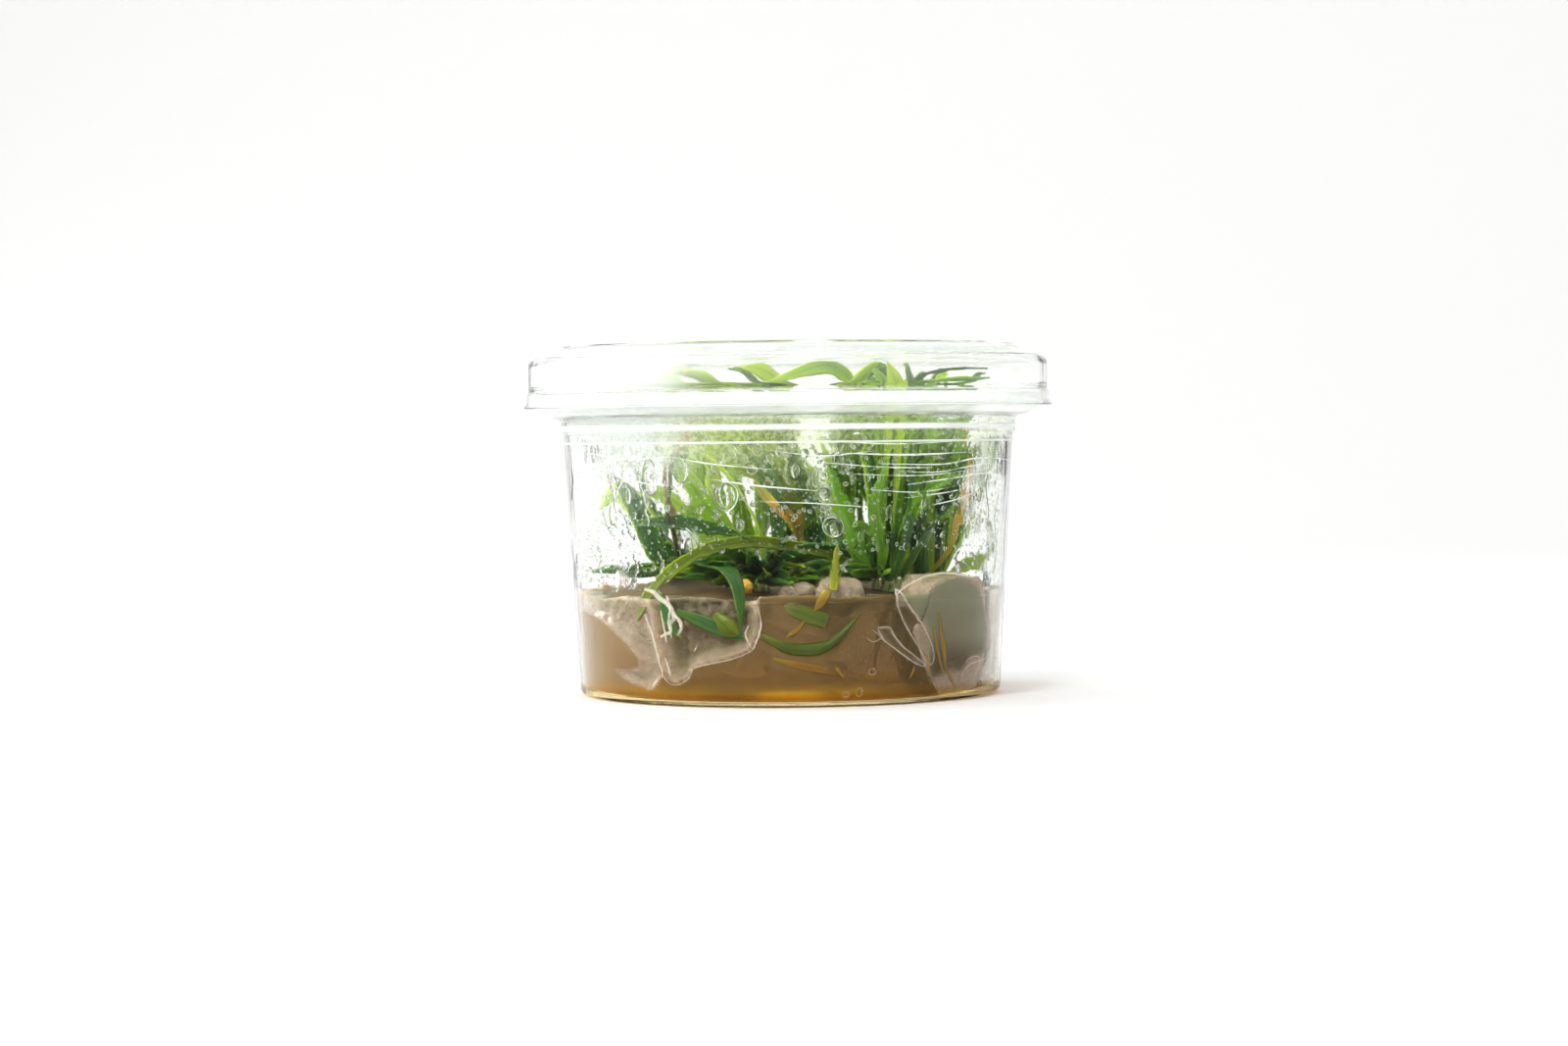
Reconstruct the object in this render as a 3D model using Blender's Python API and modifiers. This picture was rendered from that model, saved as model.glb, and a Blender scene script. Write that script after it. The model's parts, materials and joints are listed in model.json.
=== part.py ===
# A lidded clear cup of brown agar gel with seven young Helanthium plants growing in it.
# Metres, +Z up. The origin is on the table under the middle of the cup, and -Y is the front.

import math

import bmesh
import bpy
from mathutils import Matrix, Vector, noise

MM = 0.001
GAP = 0.3  # mm between two pieces that touch

# Cup and lid, in mm
STEPS = 40  # facets round every turned piece of the jar
FOOT_INNER = 33.0  # the ring that the cup stands on
FOOT_OUTER = 38.9
FOOT_RISE = 0.6  # how far the middle of the base is raised
WALL_LOW = (40.15, 1.2)  # outer radius and height where the tapered wall starts
WALL_HIGH = (42.9, 49.4)  # and where it meets the stacking step
WALL = 0.7
MOUTH_HIGH = 57.2  # top of the rolled rim
RIM_RADIUS = 49.0
LID_WALL = 0.5
LID_SKIRT = 49.8  # outer radius round the rim
LID_LIP = 50.5
LID_DOME = 49.5  # outer radius above the rim
LID_PANEL = 64.6  # top of the flat centre panel
LID_RING = 66.4  # top of the raised stacking ring
RING_RADIUS = 42.75

# Gel, in mm
GEL_LEVEL = 19.6
GEL_TOP_RINGS = (0, 9, 18, 26, 32, 37)  # radii of the rings of points on its top
GEL_SIDE_RINGS = (15.5, 11, 6.5, 4, 2.2)  # and their heights on its side
GEL_ROUGHNESS = 0.8  # height of its bumps
GEL_BUMP_SCALE = 0.11  # bumps per mm
MENISCUS = 0.7
SHRUNK_RADIUS = 36.0  # only what lies further out than this has drawn back
MOUNDS = [(-21.0, -1.0, 3.2, 7.0), (17.0, -13.0, 1.2, 7.0)]  # x, y, height and spread

# The hollow at the front where the gel has drawn back from the wall
POCKET_LEFT, POCKET_RIGHT = -52.0, 30.0  # degrees round from the front
POCKET_EDGE = 9.0  # degrees over which it deepens from either end
POCKET_LOW, POCKET_SLOPE = 2.4, 2.4  # where it starts, and the height over which it deepens
POCKET_DEPTH = 1.7
DEEP_AT, DEEP_SPREAD = -21.0, 13.0  # the deeper hollow in it, in degrees
DEEP_LOW, DEEP_SLOPE = 7.0, 5.0
DEEPER = 3.6

# Plants, in mm
CROWN_TOP = 22.2
CROWN_RADIUS = 1.9
CROWN_STEPS = 7
ROOTS_LOW = 8.0
ROOTS_RADIUS = 2.7
SEAT_RADIUS = 3.0  # distance of a leaf's foot from the middle of its crown
SEAT_HEIGHT = 21.7
LEAF_THICKNESS = 0.5
LEAF_STATIONS = 36  # points along a leaf's middle line
LEAF_PIECES = 9  # facets along a leaf

# A crown's place, and how far the gel lifts it
CROWNS = {
    "front_right": (18.0, -16.0, 1.0),
    "right": (27.0, 0.0, 0.0),
    "centre": (-6.0, -6.0, 0.0),
    "left": (-21.0, 0.0, 3.0),
    "middle": (7.0, 9.0, 0.0),
    "back_left": (-10.0, 21.0, 0.0),
    "back_right": (23.0, 17.0, 0.0),
}

# A leaf: the side of the crown it grows from in degrees (0 is +X, 90 the back), its width in mm, how
# far its blade is turned at the foot and at the tip in degrees, its colour, and the points it passes.
LEAVES = {
    "front_right": [
        (25, 3.2, 0, 70, "fresh",
         [(19.8, -15.5, 40), (20.2, -15, 52), (20.4, -14.5, 58), (18.6, -14, 63.2)]),
        (112, 3.4, 20, 160, "fresh",
         [(15, -12, 38), (13.6, -10.5, 52), (11.6, -10, 59.2), (7.8, -10.2, 62.2), (3, -10.6, 61.4),
          (-5, -11, 58.8)]),
        (245, 2.8, 30, -60, "pale", [(17.2, -22, 28), (15.7, -23, 35), (17.4, -23.5, 42), (20, -24, 50)]),
        (295, 2.8, 0, 60, "deep", [(21.6, -22, 30), (22.6, -24.5, 40), (23, -25.5, 50)]),
        (203, 3.8, 40, 130, "fresh", [(12.6, -19, 28.5), (9, -20.5, 39), (5.4, -21, 50)]),
        (340, 4.2, -30, 60, "deep", [(24.2, -19, 28.5), (28, -18.5, 33), (31.4, -17.5, 39), (34, -16, 48)]),
        (158, 2.4, 70, 110, "olive",
         [(13.8, -14, 24.6), (6.2, -14.5, 27.4), (-0.6, -16.5, 28.8), (-7.4, -19, 29.6), (-14.3, -22.5, 28.6),
          (-19.7, -25.5, 26), (-24, -28, 22.6)]),
    ],
    "right": [
        (250, 1.9, 0, 50, "orange", [(30.4, -6, 27.5), (31.8, -8, 33.5), (33.8, -9, 41), (33.6, -9.5, 49)]),
        (310, 2.6, 0, 90, "fresh", [(33.2, -4.5, 31), (36.6, -5, 40), (38.8, -5, 49.5)]),
        (5, 2.6, 60, 200, "pale", [(33, 2, 23.6), (38.4, 4, 26), (39.2, 5, 30.5), (37.6, 6, 34.5)]),
        (155, 3.6, 0, 120, "deep",
         [(23.6, 3.6, 38), (21.6, 3.5, 50), (23, 2, 56.4), (29, 0, 58.6), (37, -2, 59.6)]),
        (205, 3.4, 20, 100, "deep", [(24.2, -5, 32), (24.4, -7.5, 44), (26, -9.5, 54)]),
        (52, 3.4, 0, 140, "deep", [(32.8, 6.5, 34), (37, 10, 47)]),
        (103, 3.4, -20, 110, "fresh", [(28.8, 4.6, 38), (31, 3.6, 52), (29.4, 4, 61.6)]),
    ],
    "centre": [
        (170, 3.0, 60, 60, "deep",
         [(-9.4, -4.5, 27.5), (-13.4, -3, 31), (-20, -2.4, 33.2), (-28, -2.2, 33.6)]),
        (215, 4.2, 0, 120, "fresh", [(-12, -8.5, 31), (-18, -9.5, 40), (-25, -9.5, 48.5)]),
        (100, 4.2, 10, 150, "fresh", [(-8.6, -1.6, 37), (-13, -1, 48), (-18.4, -3, 56.6)]),
        (20, 3.6, 0, 120, "deep", [(-2.2, -4.2, 34), (-5.4, -4, 45), (-11.4, -5.4, 54)]),
        (300, 3.0, 20, 130, "pale", [(-5.6, -12, 31), (-10, -14, 40), (-16.4, -14.4, 47)]),
    ],
    "left": [
        (220, 4.4, 10, 130, "deep", [(-25, -4, 27), (-30, -6, 37.6), (-34.4, -7, 43)]),
        (160, 4.4, 20, 190, "pale", [(-26.6, 2.6, 32), (-32.4, 1.6, 38.6), (-36.4, -1, 35.4)]),
        (70, 2.2, 0, 80, "brown",
         [(-21.8, 4.4, 30), (-23.4, 4.6, 38), (-23.6, 4.4, 44), (-20.6, 4, 50.6), (-18.4, 3.6, 55)]),
        (20, 3.4, 0, 170, "fresh", [(-18, 2.4, 34), (-17.6, 1.4, 46), (-18.6, -1.6, 55.6), (-24, -6, 60)]),
        (285, 3.2, 0, -20, "fresh",
         [(-18.4, -13, 25.4), (-15, -21.5, 25.2), (-11.4, -31, 25), (-9.3, -37.2, 21.4),
          (-8.8, -38.2, 13.4)]),
        (112, 3.4, 0, 100, "deep", [(-26, 9, 34), (-31, 12, 46), (-36, 14, 52)]),
    ],
    "middle": [
        (217, 2.2, 60, 60, "orange", [(2.2, 3.6, 29), (0.4, 1.6, 33.4), (-2.8, 1, 36.4), (-6.2, 1.4, 40)]),
        (180, 4.6, 0, 120, "fresh", [(1.6, 8.4, 33), (-3.4, 6.6, 43), (-11, 5, 52)]),
        (130, 5.2, 10, 120, "fresh", [(4.6, 10.6, 32), (1, 10.4, 40.6), (-7, 9, 46.6), (-14.4, 8, 50)]),
        (80, 4.0, 0, 140, "pale", [(7.4, 14, 35), (2.6, 14, 46), (-3.4, 12.6, 56)]),
        (25, 3.6, 0, 110, "fresh", [(11.6, 9.4, 35), (12.4, 8, 46), (11.4, 6, 56)]),
        (330, 3.8, 20, 170, "deep", [(10, 5.6, 36), (9.4, 3, 50), (13, 0, 59), (19.4, -2, 62.6)]),
        (255, 3.4, 0, 120, "deep", [(5.4, 3.4, 31), (1.6, 0, 42), (-4.4, -0.6, 53)]),
    ],
    "back_left": [
        (175, 4.2, 0, 150, "deep", [(-15, 22, 36), (-21, 23.4, 48), (-28, 23, 57)]),
        (72, 4.4, 10, 160, "fresh", [(-10.4, 25, 38), (-13, 28, 51), (-20, 27.4, 60)]),
        (10, 4.0, 0, 140, "fresh", [(-5.4, 20, 36), (-6, 18.6, 48), (-12, 16.4, 59)]),
        (235, 4.2, 20, 150, "pale", [(-17, 16, 31), (-26, 15.4, 38.4), (-33, 13, 36.4)]),
        (122, 3.8, 0, 130, "deep", [(-14, 28, 34), (-18.4, 32.4, 44)]),
        (318, 4.6, 20, 120, "deep", [(-4.8, 16, 32), (-5.8, 15, 42), (-13, 14.4, 49.6), (-21, 13, 53)]),
    ],
    "back_right": [
        (45, 4.0, 0, 140, "deep", [(27, 20.4, 35), (30.4, 22.6, 46), (29.4, 21.6, 57)]),
        (130, 4.0, 10, 160, "fresh", [(19, 20.6, 38), (16.4, 20.6, 50), (19, 17, 61)]),
        (200, 3.6, 0, 120, "deep", [(17.6, 15.4, 33), (14.6, 15.6, 44), (15, 17, 56)]),
        (340, 3.6, 0, 130, "fresh", [(28.6, 14.6, 34), (33, 14, 44), (35.4, 15, 52)]),
        (265, 4.0, 0, 110, "fresh", [(22, 12, 34), (19.6, 10.4, 46), (22, 9.6, 57)]),
    ],
}

# Leaf pieces that lie flat against the front wall: width in mm, colour, and points as degrees round
# from the front and height in mm.
WALL_PIECES = {
    "wall_leaf_green": (2.1, "fresh", [(-7.4, 13.2), (0.5, 10.8), (10, 11.4), (19, 17.2)]),
    "wall_leaf_yellow": (1.8, "orange", [(-4.4, 9.0), (3, 7.6), (8.4, 6.8), (14, 5.4)]),
    "wall_leaf_stub": (2.6, "pale", [(-1.5, 18.6), (4, 17), (9.6, 15.6)]),
}
WALL_PIECE_INSET = 0.75  # from the inner face of the wall to the middle of the blade

# Loose lumps of gel: middle, half sizes, and the seed of their dents, in mm
LUMPS = {
    "gel_lump_right": ((29.0, -24.0, 12.4), (10.6, 8.4, 11.6), 2),
    "gel_lump_front": ((9.4, -29.0, 20.2), (4.4, 3.6, 3.0), 5),
    "gel_lump_small": ((1.6, -25.0, 20.0), (3.6, 2.8, 2.2), 8),
}
LUMP_DENT = 0.12  # share of the half size
BUD_PLACE = (-8.3, -24.6, 21.3)
BUD_RADIUS = 1.6
BUD_SEED = 11

COLOURS = {
    "fresh": (0.16, 0.36, 0.03, 1.0),
    "pale": (0.38, 0.52, 0.12, 1.0),
    "deep": (0.04, 0.15, 0.05, 1.0),
    "olive": (0.20, 0.26, 0.03, 1.0),
    "orange": (0.62, 0.30, 0.05, 1.0),
    "brown": (0.24, 0.15, 0.07, 1.0),
}
CLEAR = (0.93, 0.96, 0.94, 0.35)
GEL_COLOUR = (0.36, 0.22, 0.11, 1.0)


def clear_scene():
    for old in list(bpy.data.objects):
        bpy.data.objects.remove(old, do_unlink=True)


def new_collection(name):
    collection = bpy.data.collections.new(name)
    bpy.context.scene.collection.children.link(collection)
    return collection


def finish(name, colour, roughness):
    material = bpy.data.materials.get(name) or bpy.data.materials.new(name)
    material.use_nodes = True
    shader = material.node_tree.nodes["Principled BSDF"]
    shader.inputs["Base Color"].default_value = colour
    shader.inputs["Roughness"].default_value = roughness
    shader.inputs["Metallic"].default_value = 0.0
    shader.inputs["Alpha"].default_value = colour[3]
    return material


def add_object(name, mesh, collection, material=None):
    obj = bpy.data.objects.new(name, mesh)
    collection.objects.link(obj)
    if material:
        mesh.materials.append(material)
    return obj


def turned(name, outline, steps, collection, material=None):
    """A profile of (radius, height) points in mm, spun round the Z axis."""
    mesh = bpy.data.meshes.new(name)
    points = [(radius * MM, 0.0, height * MM) for radius, height in outline]
    edges = [(i, i + 1) for i in range(len(points) - 1)]
    mesh.from_pydata(points, edges, [])
    obj = add_object(name, mesh, collection, material)
    screw = obj.modifiers.new("spin", "SCREW")
    screw.axis = "Z"
    screw.steps = steps
    screw.render_steps = steps
    screw.use_merge_vertices = True
    screw.merge_threshold = 0.00001
    screw.use_smooth_shade = True
    return obj


def settled(obj):
    """The object with its modifiers applied."""
    view = bpy.context.evaluated_depsgraph_get()
    mesh = bpy.data.meshes.new_from_object(obj.evaluated_get(view))
    old, obj.data = obj.data, mesh
    obj.modifiers.clear()
    bpy.data.meshes.remove(old)
    return obj


def cut(obj, cutter, operation="DIFFERENCE"):
    boolean = obj.modifiers.new(cutter.name, "BOOLEAN")
    boolean.operation = operation
    boolean.solver = "EXACT"
    boolean.object = cutter


def as_cutter(obj):
    obj.display_type = "WIRE"
    obj.hide_render = True
    return obj


def taper(height):
    """Outer radius of the cup's tapered wall at a height."""
    share = (height - WALL_LOW[1]) / (WALL_HIGH[1] - WALL_LOW[1])
    return WALL_LOW[0] + share * (WALL_HIGH[0] - WALL_LOW[0])


def make_cup(collection):
    floor = FOOT_RISE + WALL + 0.1
    step_radius = WALL_HIGH[0] + 0.5
    inside = [
        (0, floor), (FOOT_INNER - 1, floor), (FOOT_INNER, floor - 0.4), (FOOT_OUTER - 0.2, floor - 0.4),
        (taper(2) - WALL, 2.0), (WALL_HIGH[0] - WALL, 49.7), (step_radius - WALL, 50.3),
        (step_radius - WALL, 53.1), (45.1, 53.8), (46.9, 55.3), (47.1, 56.8), (47.6, MOUTH_HIGH),
    ]
    outside = [
        (48.5, MOUTH_HIGH), (RIM_RADIUS, 56.7), (RIM_RADIUS, 55.4), (48.5, 54.9), (47.4, 54.4), (45.4, 53.0),
        (step_radius, 52.4), (step_radius, 50.0), WALL_HIGH, WALL_LOW, (39.6, 0.3), (FOOT_OUTER, 0),
        (FOOT_INNER, 0), (FOOT_INNER - 0.7, FOOT_RISE), (0, FOOT_RISE),
    ]
    return turned("cup", inside + outside, STEPS, collection, finish("clear_cup", CLEAR, 0.08))


def make_lid(collection):
    under = LID_PANEL - LID_WALL
    seat = MOUTH_HIGH + GAP  # a ledge inside the skirt rests on the rim
    dome_inner = LID_DOME - LID_WALL
    inside = [
        (0, under), (RING_RADIUS - 1.6, under), (RING_RADIUS - 0.7, LID_RING - 0.5),
        (RING_RADIUS + 0.4, LID_RING - 0.5), (RING_RADIUS + 0.9, under - 0.1),
        (dome_inner - 0.9, under - 0.5),
        (dome_inner, under - 1.3), (dome_inner, seat + 1.1), (dome_inner - 0.7, seat + 0.5),
        (dome_inner - 0.7, seat), (LID_SKIRT - LID_WALL, seat), (LID_SKIRT - LID_WALL, 55.6), (50.0, 54.6),
    ]
    outside = [
        (LID_LIP, 54.8), (LID_SKIRT, 55.8), (LID_SKIRT, seat - 0.1), (LID_DOME, seat + 0.3),
        (LID_DOME, LID_PANEL - 1.6), (LID_DOME - 0.4, LID_PANEL - 0.9), (LID_DOME - 1.2, LID_PANEL - 0.4),
        (RING_RADIUS + 1.5, LID_PANEL - 0.1), (RING_RADIUS + 1.1, LID_RING - 0.5),
        (RING_RADIUS + 0.5, LID_RING), (RING_RADIUS - 0.5, LID_RING),
        (RING_RADIUS - 1.1, LID_RING - 0.6), (RING_RADIUS - 1.6, LID_PANEL), (0, LID_PANEL),
    ]
    # Turned round, the outline runs from the middle of the top down the outside and back up the inside.
    outline = list(reversed(inside + outside))
    return turned("lid", outline, STEPS, collection, finish("clear_lid", CLEAR, 0.08))


def jar_space(collection, name, clearance):
    """The inside of the cup up to above the gel, kept clear of its wall."""
    floor = FOOT_RISE + WALL + 0.1 + clearance
    outline = [
        (0, 30.0), (taper(30) - WALL - clearance, 30.0), (taper(2.3) - WALL - clearance, 2.3),
        (FOOT_OUTER - 0.5, floor - 0.4), (FOOT_INNER + 0.1, floor - 0.4), (FOOT_INNER - 0.9, floor),
        (0, floor),
    ]
    return as_cutter(settled(turned(name, outline, STEPS, collection)))


def smooth_step(share):
    share = min(max(share, 0.0), 1.0)
    return share * share * (3 - 2 * share)


def gel_shrinkage(degrees, height):
    """How far the side of the gel has drawn back from the wall, in mm."""
    along = smooth_step((degrees - POCKET_LEFT) / POCKET_EDGE)
    along *= smooth_step((POCKET_RIGHT - degrees) / POCKET_EDGE)
    up = smooth_step((height - POCKET_LOW) / POCKET_SLOPE)
    deep = math.exp(-(((degrees - DEEP_AT) / DEEP_SPREAD) ** 2))
    deep *= smooth_step((height - DEEP_LOW) / DEEP_SLOPE)
    return along * up * (POCKET_DEPTH + DEEPER * deep)


def gel_bump(x, y):
    """Height of the broken top of the gel at a place, in mm."""
    bump = GEL_ROUGHNESS * noise.noise(Vector((x * GEL_BUMP_SCALE, y * GEL_BUMP_SCALE, 0.7)))
    for mound_x, mound_y, height, spread in MOUNDS:
        bump += height * math.exp(-((x - mound_x) ** 2 + (y - mound_y) ** 2) / spread ** 2)
    return bump


def make_gel(collection, cutters):
    """The gel fills the cup, with a bumpy top, a meniscus and a hollow at the front where it shrank."""
    floor = FOOT_RISE + WALL + 0.1 + GAP
    edge = taper(GEL_LEVEL) - WALL - GAP
    top = [(radius, GEL_LEVEL) for radius in GEL_TOP_RINGS + (edge,)]
    side = [(taper(height) - WALL - GAP, height) for height in GEL_SIDE_RINGS]
    bottom = [
        (FOOT_OUTER - 0.5, floor - 0.4), (FOOT_INNER + 0.1, floor - 0.4), (FOOT_INNER - 0.9, floor),
        (0, floor),
    ]
    gel = settled(turned("gel_bed", top + side + bottom, STEPS, collection, finish("gel", GEL_COLOUR, 0.3)))
    for vertex in gel.data.vertices:
        x, y, z = vertex.co / MM
        radius = math.hypot(x, y)
        shrink = 0.0
        if radius > SHRUNK_RADIUS:
            shrink = gel_shrinkage(math.degrees(math.atan2(x, -y)), z)
            if radius < edge - 1:
                shrink *= 0.7  # the last ring of the top but one follows its edge less
            x *= 1 - shrink / radius
            y *= 1 - shrink / radius
        if z > GEL_LEVEL - 0.1:
            z += gel_bump(x, y)
            if radius > edge - 1:
                z += MENISCUS * max(1 - shrink, 0.0)
        vertex.co = Vector((x, y, z)) * MM
    for plant, place in CROWNS.items():
        cut(gel, as_cutter(crown_solid(plant + "_socket", place, GAP, cutters)))
    for lump, (middle, sizes, seed) in LUMPS.items():
        cut(gel, as_cutter(lump_solid(lump + "_socket", middle, sizes, seed, GAP, cutters)))
    return gel


def crown_solid(name, place, swell, collection, material=None):
    """A short stem over a bundle of roots that narrows into the gel."""
    x, y, lift = place
    outline = [
        (0, CROWN_TOP + lift + swell), (CROWN_RADIUS + swell, CROWN_TOP + lift - 1),
        (CROWN_RADIUS * 0.9 + swell, GEL_LEVEL + lift - 1), (ROOTS_RADIUS + swell, GEL_LEVEL - 5),
        (0, ROOTS_LOW - 2 * swell),
    ]
    crown = settled(turned(name, outline, CROWN_STEPS, collection, material))
    crown.data.transform(Matrix.Translation((x * MM, y * MM, 0.0)))
    return crown


def lump_solid(name, middle, sizes, seed, swell, collection, material=None):
    """A dented ball of gel, swollen by a few tenths where it is the hollow it lies in."""
    mesh = bpy.data.meshes.new(name)
    body = bmesh.new()
    bmesh.ops.create_icosphere(body, subdivisions=2, radius=1.0)
    for vertex in body.verts:
        dent = 1 + LUMP_DENT * noise.noise(vertex.co * 1.7 + Vector((seed, 0.0, 0.0)))
        place = [middle[i] + vertex.co[i] * (sizes[i] * dent + swell) for i in range(3)]
        vertex.co = Vector(place) * MM
    body.to_mesh(mesh)
    body.free()
    return add_object(name, mesh, collection, material)


def make_lumps(collection, space):
    material = finish("gel", GEL_COLOUR, 0.3)
    for name, (middle, sizes, seed) in LUMPS.items():
        lump = lump_solid(name, middle, sizes, seed, 0.0, collection, material)
        cut(lump, space, "INTERSECT")
    finish_of_bud = finish("leaf_orange", COLOURS["orange"], 0.45)
    lump_solid("yellow_bud", BUD_PLACE, (BUD_RADIUS,) * 3, BUD_SEED, 0.0, collection, finish_of_bud)


def through(points, share):
    """A point on the smooth line through the points, at a share of the way along them."""
    spans = len(points) - 1
    place = min(share * spans, spans - 0.000001)
    i = int(place)
    t = place - i
    before = points[i - 1] if i else points[0] * 2 - points[1]
    after = points[i + 2] if i + 2 <= spans else points[spans] * 2 - points[spans - 1]
    a, b = points[i], points[i + 1]
    return 0.5 * ((2 * a) + (b - before) * t + (2 * before - 5 * a + 4 * b - after) * t ** 2
                  + (3 * a - before - 3 * b + after) * t ** 3)


def leaf_stations(points, facing, turn_foot, turn_tip):
    """Middle points of a leaf with the direction across its blade at each, twisting to its tip."""
    line = [through(points, i / LEAF_STATIONS) for i in range(LEAF_STATIONS + 1)]
    stations = []
    across = None
    for i, point in enumerate(line):
        ahead = line[min(i + 1, LEAF_STATIONS)] - line[max(i - 1, 0)]
        ahead.normalize()
        across = ahead.cross(facing) if across is None else across - ahead * across.dot(ahead)
        across.normalize()
        turn = math.radians(turn_foot + (turn_tip - turn_foot) * i / LEAF_STATIONS)
        stations.append((point, Matrix.Rotation(turn, 3, ahead) @ across))
    return stations


def leaf_width(share):
    """Share of a strap leaf's full width, from its narrow foot to its pointed tip."""
    foot = 0.42 + 0.58 * smooth_step(share / 0.35)
    tip = max(1 - max((share - 0.6) / 0.4, 0.0) ** 2.2, 0.0)
    return max(foot * tip, 0.12)


def make_leaf(name, points, facing, width, turns, colour, collection):
    """A strip of quads along the leaf's middle line, given its thickness by Solidify."""
    stations = leaf_stations([Vector(point) for point in points], Vector(facing), *turns)
    mesh = bpy.data.meshes.new(name)
    blade = bmesh.new()
    bmesh.ops.create_grid(blade, x_segments=1, y_segments=LEAF_PIECES, size=1.0)
    for vertex in blade.verts:
        share = (vertex.co.y + 1) / 2
        middle, across = stations[round(share * LEAF_STATIONS)]
        vertex.co = (middle + across * (vertex.co.x * leaf_width(share) * width / 2)) * MM
    blade.to_mesh(mesh)
    blade.free()
    obj = add_object(name, mesh, collection, finish("leaf_" + colour, COLOURS[colour], 0.35))
    thick = obj.modifiers.new("thickness", "SOLIDIFY")
    thick.thickness = LEAF_THICKNESS * MM
    thick.offset = 0.0
    return obj


def make_plants(collection):
    for plant, place in CROWNS.items():
        crown_solid("crown_" + plant, place, 0.0, collection, finish("crown", (0.30, 0.32, 0.10, 1.0), 0.5))
        for i, (side, width, foot, tip, colour, route) in enumerate(LEAVES[plant], start=1):
            facing = (math.cos(math.radians(side)), math.sin(math.radians(side)), -1.0)
            x, y, lift = place
            seat = (x + SEAT_RADIUS * facing[0], y + SEAT_RADIUS * facing[1], SEAT_HEIGHT + lift)
            make_leaf(f"leaf_{plant}_{i}", [seat] + route, facing, width, (foot, tip), colour, collection)


def make_wall_pieces(collection):
    for name, (width, colour, route) in WALL_PIECES.items():
        points = []
        for degrees, height in route:
            angle = math.radians(degrees)
            radius = taper(height) - WALL - WALL_PIECE_INSET
            points.append((radius * math.sin(angle), -radius * math.cos(angle), height))
        facing = (points[0][0], points[0][1], 0.0)
        make_leaf(name, points, facing, width, (0, 0), colour, collection)


def main():
    clear_scene()
    parts = new_collection("tissue_culture_cup")
    cutters = new_collection("cutters")
    make_cup(parts)
    make_lid(parts)
    make_gel(parts, cutters)
    make_lumps(parts, jar_space(cutters, "jar_space", GAP))
    make_plants(parts)
    make_wall_pieces(parts)


main()
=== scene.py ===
import json
import math
import random

import bmesh
import bpy
import numpy as np
from mathutils import Matrix, Vector, noise

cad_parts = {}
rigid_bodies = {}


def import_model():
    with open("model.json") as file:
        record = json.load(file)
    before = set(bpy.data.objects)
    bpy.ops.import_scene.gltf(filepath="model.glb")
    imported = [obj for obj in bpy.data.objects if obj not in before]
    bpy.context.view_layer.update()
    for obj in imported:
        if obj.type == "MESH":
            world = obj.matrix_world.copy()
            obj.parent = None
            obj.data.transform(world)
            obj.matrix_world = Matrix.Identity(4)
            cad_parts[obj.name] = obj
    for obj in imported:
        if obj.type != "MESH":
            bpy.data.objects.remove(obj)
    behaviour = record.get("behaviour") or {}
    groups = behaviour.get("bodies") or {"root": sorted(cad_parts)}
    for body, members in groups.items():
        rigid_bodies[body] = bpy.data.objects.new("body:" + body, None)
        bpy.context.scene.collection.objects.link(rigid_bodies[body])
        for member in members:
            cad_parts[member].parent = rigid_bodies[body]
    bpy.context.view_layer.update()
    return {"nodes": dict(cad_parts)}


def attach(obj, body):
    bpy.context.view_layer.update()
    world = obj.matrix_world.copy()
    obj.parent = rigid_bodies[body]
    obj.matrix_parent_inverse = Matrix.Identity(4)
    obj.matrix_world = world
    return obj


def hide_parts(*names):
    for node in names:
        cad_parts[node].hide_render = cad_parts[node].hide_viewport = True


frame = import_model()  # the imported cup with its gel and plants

mm = 0.001
scene = bpy.context.scene
print("frame loaded with", len(frame["nodes"]), "nodes")


class Wire:
    # an output socket that can be used in sums
    def __init__(self, kit, socket):
        self.kit = kit
        self.socket = socket

    def maths(self, operation, first, second=0.0):
        node = self.kit.add("ShaderNodeMath", {"operation": operation}, {0: first, 1: second})
        return Wire(self.kit, node.outputs[0])

    def __add__(self, other):
        return self.maths("ADD", self, other)

    def __sub__(self, other):
        return self.maths("SUBTRACT", self, other)

    def __rsub__(self, other):
        return self.maths("SUBTRACT", other, self)

    def __mul__(self, other):
        return self.maths("MULTIPLY", self, other)

    def __pow__(self, other):
        return self.maths("POWER", self, other)

    __radd__ = __add__
    __rmul__ = __mul__

    def cosine(self):
        return self.maths("COSINE", self)

    def size(self):
        return self.maths("ABSOLUTE", self)

    def smooth(self, low, high):
        # 0 below low and 1 above high, with a soft step between
        return self.kit.out("ShaderNodeMapRange", "Result", {"interpolation_type": "SMOOTHSTEP"}, {
            "Value": self, "From Min": low, "From Max": high})


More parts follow.
